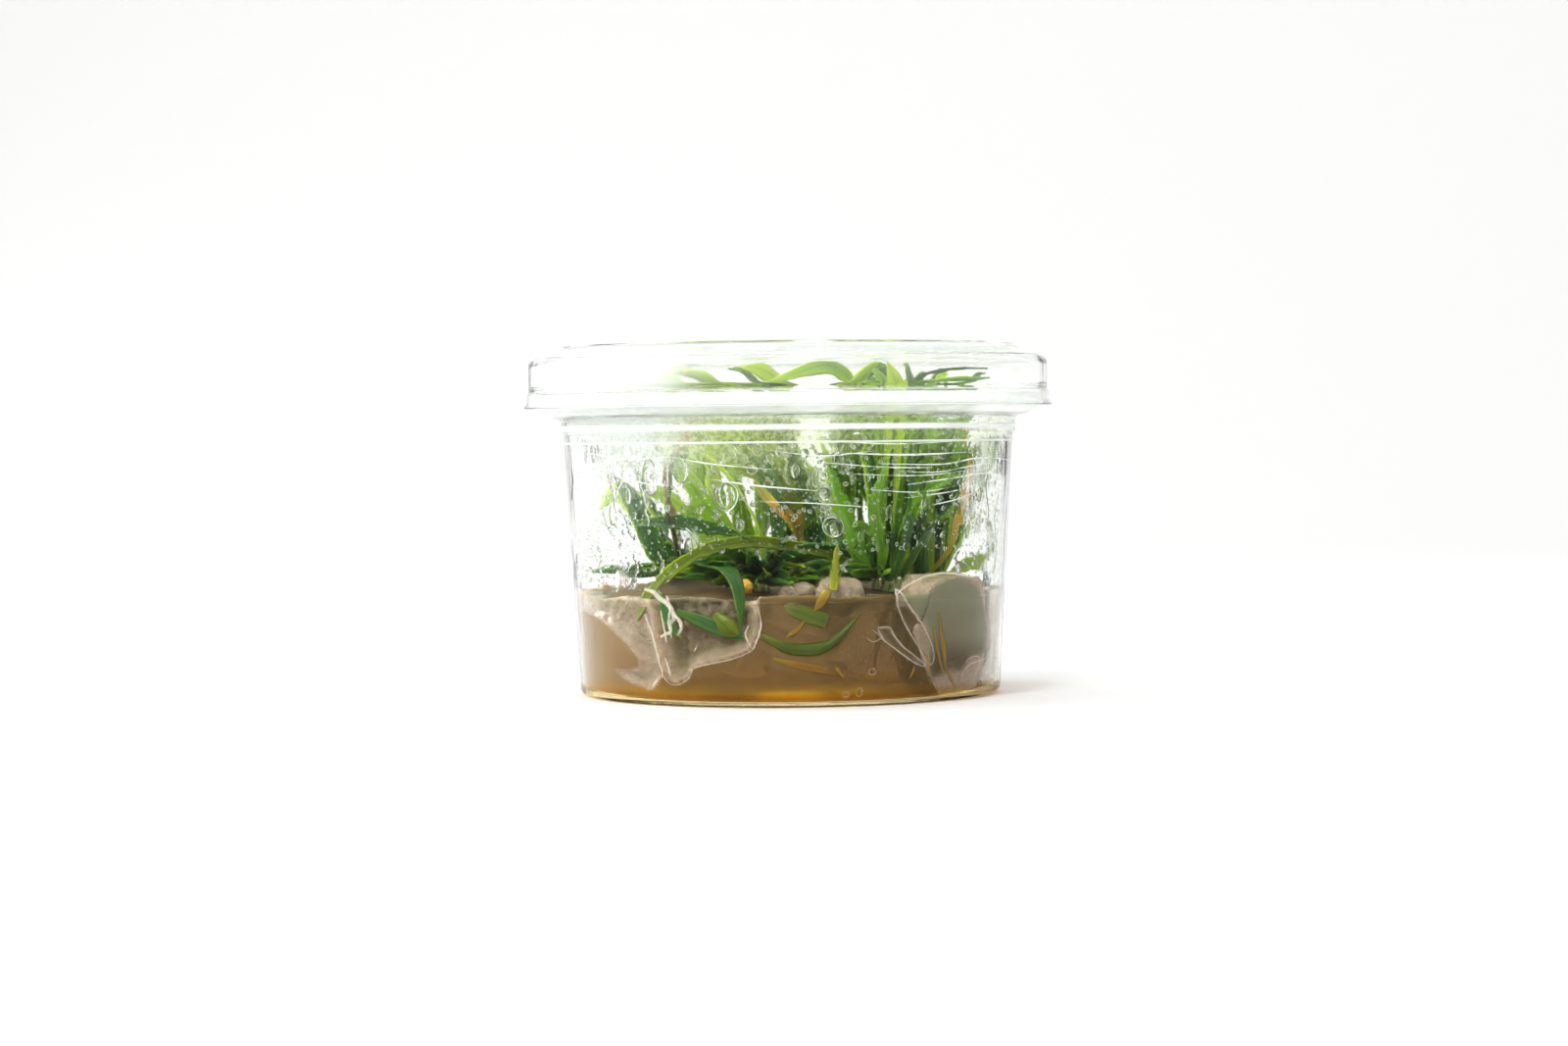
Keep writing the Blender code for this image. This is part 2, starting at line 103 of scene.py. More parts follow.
class Kit:
    # the nodes of one tree
    def __init__(self, tree):
        self.tree = tree

    def add(self, kind, settings=None, values=None):
        node = self.tree.nodes.new(kind)
        for key, value in (settings or {}).items():
            setattr(node, key, value)
        for key, value in (values or {}).items():
            socket = node.inputs[key]
            source = value.socket if isinstance(value, Wire) else value
            if isinstance(source, bpy.types.NodeSocket):
                self.tree.links.new(source, socket)
            else:
                socket.default_value = source
        return node

    def out(self, kind, output, settings=None, values=None):
        return Wire(self, self.add(kind, settings, values).outputs[output])

    def noise(self, vector, scale, detail=3.0, rough=0.55, warp=0.0):
        return self.out("ShaderNodeTexNoise", "Fac", None, {
            "Vector": vector, "Scale": scale, "Detail": detail, "Roughness": rough, "Distortion": warp})

    def mix(self, share, first, second):
        return self.out("ShaderNodeMix", 2, {"data_type": "RGBA"}, {0: share, 6: first, 7: second})

    def parts(self, vector):
        node = self.add("ShaderNodeSeparateXYZ", None, {0: vector})
        return [Wire(self, node.outputs[i]) for i in range(3)]

    def stretched(self, vector, upright):
        # the same places, squeezed or drawn out along the height
        return self.out("ShaderNodeMapping", "Vector", None, {"Vector": vector, "Scale": (1.0, 1.0, upright)})

    def mark(self, name):
        # a number that the mesh carries at each point
        return self.out("ShaderNodeAttribute", "Fac", {"attribute_name": name})

    def bump(self, height, strength, distance):
        values = {"Height": height, "Strength": strength, "Distance": distance}
        return self.out("ShaderNodeBump", "Normal", None, values)

    def coat(self, values):
        return self.out("ShaderNodeBsdfPrincipled", "BSDF", None, values)

    def blend(self, share, first, second):
        return self.out("ShaderNodeMixShader", "Shader", None, {0: share, 1: first, 2: second})

    def show(self, shader):
        self.tree.links.new(shader.socket, self.tree.nodes["Material Output"].inputs["Surface"])

    def showLampsThrough(self, shader, red, green, blue):
        # the finish as it is seen, while light from the lamps passes straight through it
        lamps = self.out("ShaderNodeBsdfTransparent", "BSDF", None, {"Color": rgb(red, green, blue)})
        self.show(self.blend(self.out("ShaderNodeLightPath", "Is Shadow Ray"), shader, lamps))


def rgb(red, green, blue):
    return (red, green, blue, 1.0)


def newMaterial(name):
    # a material without a shader yet, its nodes, and the places on the piece in metres
    material = bpy.data.materials.new(name)
    material.use_nodes = True
    material.node_tree.nodes.remove(material.node_tree.nodes["Principled BSDF"])
    kit = Kit(material.node_tree)
    return material, kit, kit.out("ShaderNodeTexCoord", "Object")


def roundReach(x, y):
    # how far from the upright axis
    return (x ** 2.0 + y ** 2.0) ** 0.5


def newMesh(name, points, faces, edges=()):
    mesh = bpy.data.meshes.new(name)
    mesh.from_pydata(points, edges, faces)
    return mesh


def setMarks(mesh, **marks):
    # one number for each point, under each name
    for name, numbers in marks.items():
        layer = mesh.attributes.new(name, "FLOAT", "POINT")
        layer.data.foreach_set("value", np.array(numbers, np.float32))


def newObject(name, data):
    obj = bpy.data.objects.new(name, data)
    scene.collection.objects.link(obj)
    return obj


def settled(obj):
    # the object with its modifiers applied, as a plain mesh
    graph = bpy.context.evaluated_depsgraph_get()
    mesh = bpy.data.meshes.new_from_object(obj.evaluated_get(graph))
    name = mesh.name = obj.name
    bpy.data.objects.remove(obj, do_unlink=True)
    return newObject(name, mesh)


def faceOut(mesh, weld=0.0, fill=False):
    # all faces outwards, after points closer than weld are joined or open edges are filled
    shape = bmesh.new()
    shape.from_mesh(mesh)
    if weld:
        bmesh.ops.remove_doubles(shape, verts=shape.verts, dist=weld)
    if fill:
        bmesh.ops.holes_fill(shape, edges=[edge for edge in shape.edges if edge.is_boundary], sides=0)
    bmesh.ops.recalc_face_normals(shape, faces=shape.faces)
    shape.to_mesh(mesh)
    shape.free()
    mesh.shade_smooth()


def keep(obj, material, slotName, *nodes):
    # a finished piece with its material, riding on the one body
    if material:
        obj.data.materials.clear()
        obj.data.materials.append(material)
    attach(obj, "root")
    if nodes:
        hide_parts(*nodes)


def smoothStep(share):
    share = min(max(share, 0.0), 1.0)
    return share * share * (3 - 2 * share)


def ringFaces(start, sides, rows, capped):
    # quads between rings of points, and a fan up to one last point
    faces = []
    for row in range(rows - 1):
        for k in range(sides):
            n = (k + 1) % sides
            a, b = start + row * sides, start + (row + 1) * sides
            faces.append((a + k, a + n, b + n, b + k))
    if capped:
        last = start + (rows - 1) * sides
        faces += [(last + k, last + (k + 1) % sides, last + sides) for k in range(sides)]
    return faces


view = {
    "place": (0.0, -0.680, 0.0495), "lens": 81.54, "sensor": 36.0, "near": 0.05,
    "down": 1.43, "left": 0.08, "roll": -0.55,
}

eye = bpy.data.cameras.new("camera")
eye.lens = view["lens"]
eye.sensor_width = view["sensor"]
eye.clip_start = view["near"]
camera = newObject("camera", eye)
camera.location = view["place"]
aim = Matrix.Rotation(math.radians(view["left"]), 4, "Z")
aim = aim @ Matrix.Rotation(math.radians(90 - view["down"]), 4, "X")
aim = aim @ Matrix.Rotation(math.radians(view["roll"]), 4, "Z")
camera.rotation_euler = aim.to_euler()
scene.camera = camera

studio = {
    "world": (1.0, 1.0, 1.0), "room": (0.95, 0.95, 0.95), "worldStrength": 0.77,
    "lamps": [
        # name, place, aim, size, power
        ("keyLamp", (-0.38, -0.72, 0.72), (0, 0, 0.03), 0.22, 3.6),
        ("leftLamp", (-0.85, 0.40, 0.40), (0, 0, 0.05), 0.6, 3.4),
    ],
    "front": -0.42, "sweepStart": 0.75, "sweepRadius": 0.8, "sweepSteps": 24, "sweepWidth": 3.2, "sweepHigh": 2.2,
}


def makeStudio():
    world = bpy.data.worlds.new("studio")
    world.use_nodes = True
    scene.world = world
    tree = Kit(world.node_tree)
    ground = world.node_tree.nodes["Background"]
    x, y, z = tree.parts(tree.out("ShaderNodeTexCoord", "Generated"))
    lit = (y + z * 0.9).smooth(-0.75, -0.35)  # white paper all round, a little greyer in front
    colour = tree.mix(lit, rgb(*studio["room"]), rgb(*studio["world"]))
    world.node_tree.links.new(colour.socket, ground.inputs["Color"])
    ground.inputs["Strength"].default_value = studio["worldStrength"]
    for name, place, target, size, power in studio["lamps"]:
        lamp = bpy.data.lights.new(name, "AREA")
        lamp.shape = "DISK"
        lamp.size = size
        lamp.energy = power
        obj = newObject(name, lamp)
        obj.location = place
        obj.rotation_euler = (Vector(target) - Vector(place)).to_track_quat("-Z", "Y").to_euler()
        obj.visible_camera = False


def makeFloor():
    outline = [(studio["front"], 0.0), (studio["sweepStart"], 0.0)]
    radius, steps = studio["sweepRadius"], studio["sweepSteps"]
    for i in range(1, steps + 1):
        angle = math.radians(90 * i / steps)
        outline.append((studio["sweepStart"] + radius * math.sin(angle), radius * (1 - math.cos(angle))))
    outline.append((studio["sweepStart"] + radius, studio["sweepHigh"]))
    half = studio["sweepWidth"] / 2
    points = [(side * half, y, z) for y, z in outline for side in (-1, 1)]
    faces = [(2 * i, 2 * i + 1, 2 * i + 3, 2 * i + 2) for i in range(len(outline) - 1)]
    mesh = newMesh("floor", points, faces)
    mesh.shade_smooth()
    floor = newObject("floor", mesh)
    material, kit, place = newMaterial("pale_paper")
    colour = kit.mix(kit.noise(place, 900.0, 2.0), rgb(0.93, 0.93, 0.925), rgb(0.96, 0.96, 0.955))
    kit.show(kit.coat({"Base Color": colour, "Roughness": 0.9, "Specular IOR Level": 0.1}))
    mesh.materials.append(material)


makeStudio()
makeFloor()
scene.view_settings.view_transform = "Standard"
scene.view_settings.look = "Medium High Contrast"
scene.cycles.max_bounces = 32
scene.cycles.transmission_bounces = 28
scene.cycles.transparent_max_bounces = 48
print("camera, lights and floor are up")


jar = {
    "footInner": 33.0, "footOuter": 38.9, "footRise": 0.6,
    "wallLow": (40.15, 1.2), "wallHigh": (42.9, 49.4), "wall": 0.7,
    "mouthHigh": 57.2, "rimRadius": 49.0, "steps": 192, "fillet": 0.55,
}
cover = {
    "wall": 0.5, "skirt": 49.8, "lip": 50.5, "dome": 49.5, "panel": 64.6, "ring": 66.4,
    "ringRadius": 42.75, "gap": 0.3, "steps": 192, "fillet": 0.5,
}
insideFloor = jar["footRise"] + jar["wall"] + 0.1  # height of the cup's floor, inside
stepRadius = jar["wallHigh"][0] + 0.5
wallDegree = 0.7  # mm of wall to a degree


def taper(height):
    # outer radius of the cup's wall at a height
    low, high = jar["wallLow"], jar["wallHigh"]
    return low[0] + (height - low[1]) / (high[1] - low[1]) * (high[0] - low[0])


def innerWall(height):
    return taper(height) - jar["wall"]


def roomAt(height):
    # inner radius of the closed jar at a height
    if height < 49.6:
        return innerWall(height)
    if height < 53.1:
        return stepRadius - jar["wall"]
    if height < 55.3:
        return 42.7 + (height - 53.1) / 2.2 * 4.0
    return 46.8 if height < 57.5 else 48.6


def wallPoint(degrees, height, inset):
    # a place on the inner face of the wall, in mm, by degrees round from the front
    radius = innerWall(height) - inset
    angle = math.radians(degrees)
    return Vector((radius * math.sin(angle), -radius * math.cos(angle), height))


def rounded(corners, fillet):
    # the outline with each corner turned into a small arc between two support points
    points = []
    for i, corner in enumerate(corners):
        here = Vector(corner)
        if i in (0, len(corners) - 1):
            points.append(tuple(here))
            continue
        back, ahead = Vector(corners[i - 1]) - here, Vector(corners[i + 1]) - here
        cut = min(fillet, 0.36 * back.length, 0.36 * ahead.length)
        back.normalize()
        ahead.normalize()
        first, last = here + back * cut, here + ahead * cut
        points.append(tuple(here + back * cut * 1.3))
        for k in range(5):
            t = k / 4
            points.append(tuple(first * (1 - t) ** 2 + here * 2 * t * (1 - t) + last * t ** 2))
        points.append(tuple(here + ahead * cut * 1.3))
    return points


def turned(name, outline, steps):
    # an outline of radius and height in mm, spun round the upright axis
    points = [(radius * mm, 0.0, height * mm) for radius, height in outline]
    mesh = newMesh(name, points, [], [(i, i + 1) for i in range(len(points) - 1)])
    obj = newObject(name, mesh)
    spin = obj.modifiers.new("spin", "SCREW")
    spin.axis = "Z"
    spin.steps = steps
    spin.render_steps = steps
    spin.use_merge_vertices = True
    spin.merge_threshold = 0.001 * mm
    obj = settled(obj)
    faceOut(obj.data)
    return obj


def clearPlastic(name, tint, footTint, haze, bend, wet, scuffsAndHighlights):
    # moulded clear plastic: faint flow lines, a little haze, and lamps reach through it;
    # scuffs and highlights are white bands, partly worn frosting and partly painted highlight where lamps reflect
    # on the curves, as the lowest and highest metres and how white they are
    material, kit, place = newMaterial(name)
    x, y, z = kit.parts(place)
    colour = kit.mix(z.smooth(0.0035, 0.0015), rgb(*tint), rgb(*footTint))  # painted glow: the gel's amber seen through the foot, as the foot's tint
    waves = kit.noise(kit.stretched(place, 0.22), 160.0, 2.0)
    fine = kit.noise(place, 2600.0, 2.0)
    inner = (z * 0.05705 + 0.04008 - roundReach(x, y)).smooth(0.0003, 0.0005)  # only the wall's inner face
    inner = inner * z.smooth(0.020, 0.022) * z.smooth(0.0495, 0.048)
    flank = x.size().smooth(0.008, 0.034) * x.size().smooth(0.0405, 0.0365)
    patch = kit.noise(place, 75.0, 2.0).smooth(0.54 - flank * 0.08, 0.72 - flank * 0.06)
    film = kit.noise(kit.stretched(place, 0.55), 480.0, 4.0, 0.55, 1.6) * patch * inner * wet
    rough = 0.015 + haze * kit.noise(place, 320.0, 4.0).smooth(0.45, 0.8)
    shell = kit.coat({
        "Base Color": colour, "Roughness": rough, "IOR": bend, "Transmission Weight": 1.0,
        "Normal": kit.bump(waves + fine * 0.06 + film, 0.3, 0.0004)})
    pale = kit.coat({"Base Color": rgb(0.98, 0.99, 0.98), "Roughness": 0.5, "Specular IOR Level": 0.2})
    streak = kit.noise(kit.stretched(place, 7.0), 130.0, 3.0)
    soft = 0.5 * mm
    # painted highlight, partly worn frosting: white bands where lamps reflect along the curves
    scuffAndHighlight = sum(
        z.smooth(low, low + soft) * z.smooth(high + soft, high) * white for low, high, white in scuffsAndHighlights)
    kit.showLampsThrough(kit.blend(scuffAndHighlight * (0.5 + streak), shell, pale), 0.97, 0.98, 0.97)
    return material


def makeCup():
    floor, step = insideFloor, stepRadius
    wall, rim, mouth = jar["wall"], jar["rimRadius"], jar["mouthHigh"]
    footInner, footOuter = jar["footInner"], jar["footOuter"]
    inside = [
        (0, floor), (footInner - 1, floor), (footInner, floor - 0.4), (footOuter - 0.2, floor - 0.4),
        (innerWall(2), 2.0), (jar["wallHigh"][0] - wall, 49.7), (step - wall, 50.3),
        (step - wall, 53.1), (45.1, 53.8), (46.9, 55.3), (47.1, 56.8), (47.6, mouth),
    ]
    outside = [
        (48.5, mouth), (rim, 56.7), (rim, 55.4), (48.5, 54.9), (47.4, 54.4), (45.4, 53.0),
        (step, 52.4), (step, 50.0), jar["wallHigh"], jar["wallLow"], (39.6, 0.3), (footOuter, 0),
        (footInner, 0), (footInner - 0.7, jar["footRise"]), (0, jar["footRise"]),
    ]
    cup = turned("clear_cup_shell", rounded(inside + outside, jar["fillet"]), jar["steps"])
    # white bands at the step and the neck: partly worn frosting, partly painted highlight
    scuffsAndHighlights = [(0.0500, 0.0512, 0.22), (0.0531, 0.0574, 0.32)]
    plastic = clearPlastic("cup_plastic", (0.98, 0.99, 0.98), (0.96, 0.84, 0.52), 0.05, 1.17, 5.5, scuffsAndHighlights)
    keep(cup, plastic, "clear_cup", "cup")


def makeLid():
    under = cover["panel"] - cover["wall"]
    rest = jar["mouthHigh"] + cover["gap"]  # where the lid lies over the rim
    inner = cover["dome"] - cover["wall"]
    ring, top, panel, skirt = cover["ringRadius"], cover["ring"], cover["panel"], cover["skirt"]
    inside = [
        (0, under), (ring - 1.6, under), (ring - 0.7, top - 0.5), (ring + 0.4, top - 0.5),
        (ring + 0.9, under - 0.1), (inner - 0.9, under - 0.5), (inner, under - 1.3), (inner, rest + 1.1),
        (inner - 0.7, rest + 0.5), (inner - 0.7, rest), (skirt - cover["wall"], rest),
        (skirt - cover["wall"], 55.6), (50.0, 54.6),
    ]
    outside = [
        (cover["lip"], 54.8), (skirt, 55.8), (skirt, rest - 0.1), (cover["dome"], rest + 0.3),
        (cover["dome"], panel - 1.6), (cover["dome"] - 0.4, panel - 0.9), (cover["dome"] - 1.2, panel - 0.4),
        (ring + 1.5, panel - 0.1), (ring + 1.1, top - 0.5), (ring + 0.5, top), (ring - 0.5, top),
        (ring - 1.1, top - 0.6), (ring - 1.6, panel), (0, panel),
    ]
    lid = turned("clear_lid_shell", rounded(inside + outside, cover["fillet"]), cover["steps"])
    # white bands at the skirt and the shoulder: partly worn frosting, partly painted highlight
    scuffsAndHighlights = [(0.0552, 0.0576, 0.08), (0.0634, 0.0644, 0.10)]
    plastic = clearPlastic("lid_plastic", (0.99, 0.995, 0.99), (0.99, 0.995, 0.99), 0.08, 1.11, 0.0, scuffsAndHighlights)
    keep(lid, plastic, "clear_lid", "lid")


makeCup()
makeLid()
print("clear cup and lid are made")


crowns = {
    "front_right": (18.0, -16.0, 1.0), "right": (27.0, 0.0, 0.0), "centre": (-6.0, -6.0, 0.0),
    "left": (-21.0, 0.0, 3.0), "middle": (7.0, 9.0, 0.0), "back_left": (-10.0, 21.0, 0.0),
    "back_right": (23.0, 17.0, 0.0),
}
seat = {"radius": 3.0, "height": 21.7}
blade = {"thick": 0.32, "along": 56, "across": 8, "cup": 0.14, "wave": 0.05, "narrow": 0.97}

# side of the crown in degrees, width in mm, turn at the foot and the tip, colour, and the way it takes
leafRoutes = {
    "front_right": [
        (25, 3.2, 0, 70, "fresh", [(19.8, -15.5, 40), (20.2, -15, 52), (20.4, -14.5, 58), (18.6, -14, 63.2)]),
        (112, 3.4, 20, 160, "fresh",
         [(15, -12, 38), (13.6, -10.5, 52), (11.6, -10, 59.2), (7.8, -10.2, 62.2), (3, -10.6, 61.4),
          (-5, -11, 58.8)]),
        (245, 2.8, 30, -60, "pale", [(17.2, -22, 28), (15.7, -23, 35), (17.4, -23.5, 42), (20, -24, 50)]),
        (295, 2.8, 0, 60, "deep", [(21.6, -22, 30), (22.6, -24.5, 40), (23, -25.5, 50)]),
        (203, 3.8, 40, 130, "fresh", [(12.6, -19, 28.5), (9, -20.5, 39), (5.4, -21, 50)]),
        (340, 4.2, -30, 60, "deep", [(24.2, -19, 28.5), (28, -18.5, 33), (31.4, -17.5, 39), (34, -16, 48)]),
        (158, 2.4, 70, 110, "olive",
         [(13.8, -14, 24.6), (6.2, -14.5, 27.4), (-0.6, -16.5, 28.8), (-7.4, -19, 29.6), (-14.3, -22.5, 28.6),
          (-19.7, -25.5, 26), (-24, -28, 22.6)]),
    ],
    "right": [
        (250, 1.9, 0, 50, "orange", [(30.4, -6, 27.5), (31.8, -8, 33.5), (33.8, -9, 41), (33.6, -9.5, 49)]),
        (310, 2.6, 0, 90, "fresh", [(33.2, -4.5, 31), (36.6, -5, 40), (38.8, -5, 49.5)]),
        (5, 2.6, 60, 200, "pale", [(33, 2, 23.6), (38.4, 4, 26), (39.2, 5, 30.5), (37.6, 6, 34.5)]),
        (155, 3.6, 0, 120, "deep",
         [(23.6, 3.6, 38), (21.6, 3.5, 50), (23, 2, 56.4), (29, 0, 58.6), (37, -2, 59.6)]),
        (205, 3.4, 20, 100, "deep", [(24.2, -5, 32), (24.4, -7.5, 44), (26, -9.5, 54)]),
        (52, 3.4, 0, 140, "deep", [(32.8, 6.5, 34), (37, 10, 47)]),
        (103, 3.4, -20, 110, "fresh", [(28.8, 4.6, 38), (31, 3.6, 52), (29.4, 4, 61.6)]),
    ],
    "centre": [
        (170, 3.0, 60, 60, "deep",
         [(-9.4, -4.5, 27.5), (-13.4, -3, 31), (-20, -2.4, 33.2), (-28, -2.2, 33.6)]),
        (215, 4.2, 0, 120, "fresh", [(-12, -8.5, 31), (-18, -9.5, 40), (-25, -9.5, 48.5)]),
        (100, 4.2, 10, 150, "fresh", [(-8.6, -1.6, 37), (-13, -1, 48), (-18.4, -3, 56.6)]),
        (20, 3.6, 0, 120, "deep", [(-2.2, -4.2, 34), (-5.4, -4, 45), (-11.4, -5.4, 54)]),
        (300, 3.0, 20, 130, "pale", [(-5.6, -12, 31), (-10, -14, 40), (-16.4, -14.4, 47)]),
    ],
    "left": [
        (220, 4.4, 10, 130, "deep", [(-25, -4, 27), (-30, -6, 37.6), (-34.4, -7, 43)]),
        (160, 4.4, 20, 190, "pale", [(-26.6, 2.6, 32), (-32.4, 1.6, 38.6), (-36.4, -1, 35.4)]),
        (70, 2.2, 0, 80, "brown",
         [(-21.8, 4.4, 30), (-23.4, 4.6, 38), (-23.6, 4.4, 44), (-20.6, 4, 50.6), (-18.4, 3.6, 55)]),
        (20, 3.4, 0, 170, "fresh", [(-18, 2.4, 34), (-17.6, 1.4, 46), (-18.6, -1.6, 55.6), (-24, -6, 60)]),
        (285, 3.2, 0, -20, "deep",
         [(-18.4, -13, 25.4), (-15, -21.5, 25.2), (-11.4, -31, 25), (-9.3, -37.2, 21.4),
          (-8.8, -38.2, 13.4)]),
        (112, 3.4, 0, 100, "deep", [(-26, 9, 34), (-31, 12, 46), (-36, 14, 52)]),
    ],
    "middle": [
        (217, 2.2, 60, 60, "orange", [(2.2, 3.6, 29), (0.4, 1.6, 33.4), (-2.8, 1, 36.4), (-6.2, 1.4, 40)]),
        (180, 4.6, 0, 120, "fresh", [(1.6, 8.4, 33), (-3.4, 6.6, 43), (-11, 5, 52)]),
        (130, 5.2, 10, 120, "fresh", [(4.6, 10.6, 32), (1, 10.4, 40.6), (-7, 9, 46.6), (-14.4, 8, 50)]),
        (80, 4.0, 0, 140, "pale", [(7.4, 14, 35), (2.6, 14, 46), (-3.4, 12.6, 56)]),
        (25, 3.6, 0, 110, "fresh", [(11.6, 9.4, 35), (12.4, 8, 46), (11.4, 6, 56)]),
        (330, 3.8, 20, 170, "deep", [(10, 5.6, 36), (9.4, 3, 50), (13, 0, 59), (19.4, -2, 62.6)]),
        (255, 3.4, 0, 120, "deep", [(5.4, 3.4, 31), (1.6, 0, 42), (-4.4, -0.6, 53)]),
    ],
    "back_left": [
        (175, 4.2, 0, 150, "deep", [(-15, 22, 36), (-21, 23.4, 48), (-28, 23, 57)]),
        (72, 4.4, 10, 160, "fresh", [(-10.4, 25, 38), (-13, 28, 51), (-20, 27.4, 60)]),
        (10, 4.0, 0, 140, "fresh", [(-5.4, 20, 36), (-6, 18.6, 48), (-12, 16.4, 59)]),
        (235, 4.2, 20, 150, "pale", [(-17, 16, 31), (-26, 15.4, 38.4), (-33, 13, 36.4)]),
        (122, 3.8, 0, 130, "deep", [(-14, 28, 34), (-18.4, 32.4, 44)]),
        (318, 4.6, 20, 120, "deep", [(-4.8, 16, 32), (-5.8, 15, 42), (-13, 14.4, 49.6), (-21, 13, 53)]),
    ],
    "back_right": [
        (45, 4.0, 0, 140, "deep", [(27, 20.4, 35), (30.4, 22.6, 46), (29.4, 21.6, 57)]),
        (130, 4.0, 10, 160, "fresh", [(19, 20.6, 38), (16.4, 20.6, 50), (19, 17, 61)]),
        (200, 3.6, 0, 120, "deep", [(17.6, 15.4, 33), (14.6, 15.6, 44), (15, 17, 56)]),
        (340, 3.6, 0, 130, "fresh", [(28.6, 14.6, 34), (33, 14, 44), (35.4, 15, 52)]),
        (265, 4.0, 0, 110, "fresh", [(22, 12, 34), (19.6, 10.4, 46), (22, 9.6, 57)]),
    ],
}
# how broad some of them are against their width, and looks that differ from the colour
broadLeaves = {
    ("front_right", 7): 1.0, ("right", 1): 0.75, ("left", 3): 0.45, ("left", 5): 1.4, ("front_right", 1): 1.6,
    ("front_right", 2): 1.3, ("right", 4): 1.15,
}
otherLooks = {("front_right", 1): "lime", ("front_right", 3): "grass", ("front_right", 5): "grass"}
pressedLooks = {"orange": "rust", "fresh": "pressed", "pale": "sunk"}
# leaves pressed to the wall: width in mm, colour, and points of degrees and heights
wallLeaves = {
    "wall_leaf_green": (2.1, "fresh", [(-7.4, 13.2), (0.5, 10.8), (10, 11.4), (19, 17.2)]),
    "wall_leaf_yellow": (1.8, "orange", [(-4.4, 9.0), (3, 7.6), (8.4, 6.8), (14, 5.4)]),
    "wall_leaf_stub": (2.6, "pale", [(-1.5, 18.6), (4, 17), (9.6, 15.6)]),
}
# loose ends of leaves and stalks: look, width in mm, form, and points in mm
looseEnds = [
    ("olive", 3.4, "leaf",
     [(-13.4, -38.0, 17.2), (-11.6, -38.6, 15.2), (-10.4, -38.8, 14.2), (-9.2, -38.9, 13.4)]),
    ("deep", 2.6, "leaf",
     [(-20.6, -31.6, 17.4), (-15.6, -35.0, 15.4), (-11.0, -37.0, 13.6), (-7.6, -38.2, 12.4)]),
    ("deep", 2.2, "leaf",
     [(-23.6, -30.2, 20.6), (-23.0, -31.6, 17.6), (-21.4, -33.4, 14.6), (-19.6, -34.8, 12.6)]),
    ("olive", 2.5, "leaf",
     [(-22.8, -27.4, 23.8), (-25.6, -28.6, 20.8), (-27.2, -28.4, 17.8), (-27.9, -28.0, 15.4)]),
    ("straw", 1.6, "stub", [(8.9, -25.0, 29.0), (8.6, -28.0, 26.0), (8.3, -32.0, 23.4), (7.9, -35.6, 21.2)]),
    ("brown", 2.6, "stub",
     [(-16.8, -27.5, 54.6), (-17.4, -28.0, 52.0), (-18.4, -28.0, 49.6), (-20.0, -27.6, 47.4)]),
    ("deep", 2.7, "leaf",
     [(-28.4, -16.0, 33.2), (-22.0, -17.5, 33.4), (-14.6, -19.0, 32.4), (-6.6, -20.0, 30.0)]),
    ("grass", 4.2, "leaf", [(15.5, -8.0, 24.0), (13.8, -6.0, 33.0), (13.0, -5.0, 43.0), (12.2, -5.0, 54.0)]),
    ("orange", 2.0, "leaf",
     [(-6.4, -15.0, 40.8), (-4.6, -15.4, 38.4), (-2.2, -15.6, 35.8), (-0.4, -15.0, 33.0)]),
    ("lime", 4.4, "leaf",
     [(-9.0, -6.0, 50.0), (-12.0, -8.0, 57.0), (-16.4, -9.0, 60.6), (-22.6, -8.0, 61.6)]),
    ("lime", 4.0, "leaf", [(2.0, -3.0, 50.0), (-1.0, -5.0, 58.0), (-5.0, -6.0, 61.6), (-9.6, -6.0, 62.4)]),
    ("lime", 3.6, "leaf",
     [(9.0, -12.0, 50.0), (11.6, -14.0, 57.0), (15.0, -14.6, 61.4), (17.4, -14.0, 63.0)]),
    ("grass", 3.4, "leaf",
     [(23.0, -17.0, 54.0), (26.0, -17.0, 57.6), (31.0, -15.0, 59.0), (38.0, -12.0, 59.8)]),
    ("deep", 2.8, "leaf", [(20.0, -8.0, 56.0), (25.0, -9.0, 60.0), (31.0, -8.0, 61.4), (38.0, -5.0, 61.6)]),
]
deadStem = [
    ((-20.0, -27.6, 47.6), 0.42), ((-21.6, -26.6, 44.0), 0.40), ((-21.8, -25.0, 40.0), 0.36),
    ((-22.6, -21.0, 36.0), 0.38), ((-21.6, -14.0, 31.0), 0.42), ((-21.0, -8.0, 26.0), 0.45),
]
# flat roots and stalks between gel and wall: look, width in mm, and points of degrees and heights
flatRoots = [
    ("amber", 1.7, [(9.8, 21.4), (9.2, 20.4), (7.8, 18.9), (6.0, 17.5)]),
    ("amber", 0.8, [(3.7, 15.8), (1.8, 14.2), (0.4, 13.6), (-1.4, 12.6)]),
    ("amber", 0.55, [(14.0, 5.4), (12.4, 6.9), (12.0, 7.4)]),
    ("amber", 0.95, [(42.4, 16.6), (43.6, 12.8), (45.0, 9.0), (45.6, 5.2)]),
    ("amber", 0.55, [(40.6, 14.2), (42.0, 10.6), (43.6, 7.4), (45.4, 4.6)]),
    ("amber", 0.45, [(45.8, 7.0), (47.6, 4.6), (50.0, 2.6)]),
    ("amber", 0.40, [(34.6, 7.0), (34.0, 5.8), (33.0, 4.6)]),
    ("amber", 0.35, [(38.0, 9.6), (39.2, 7.0), (40.6, 4.6)]),
]
# places that stay free of young leaves: left, right, low and high in mm, seen from the front
clearings = [
    (2.4, 9.6, 39.6, 50.0), (9.0, 12.4, 38.0, 46.5), (-28.5, -18.6, 34.5, 47.0), (33.2, 38.0, 27.0, 33.0),
    (-36.0, -25.5, 24.6, 33.0), (-18.6, -15.8, 28.4, 30.6), (-13.4, -7.0, 32.4, 36.6),
]
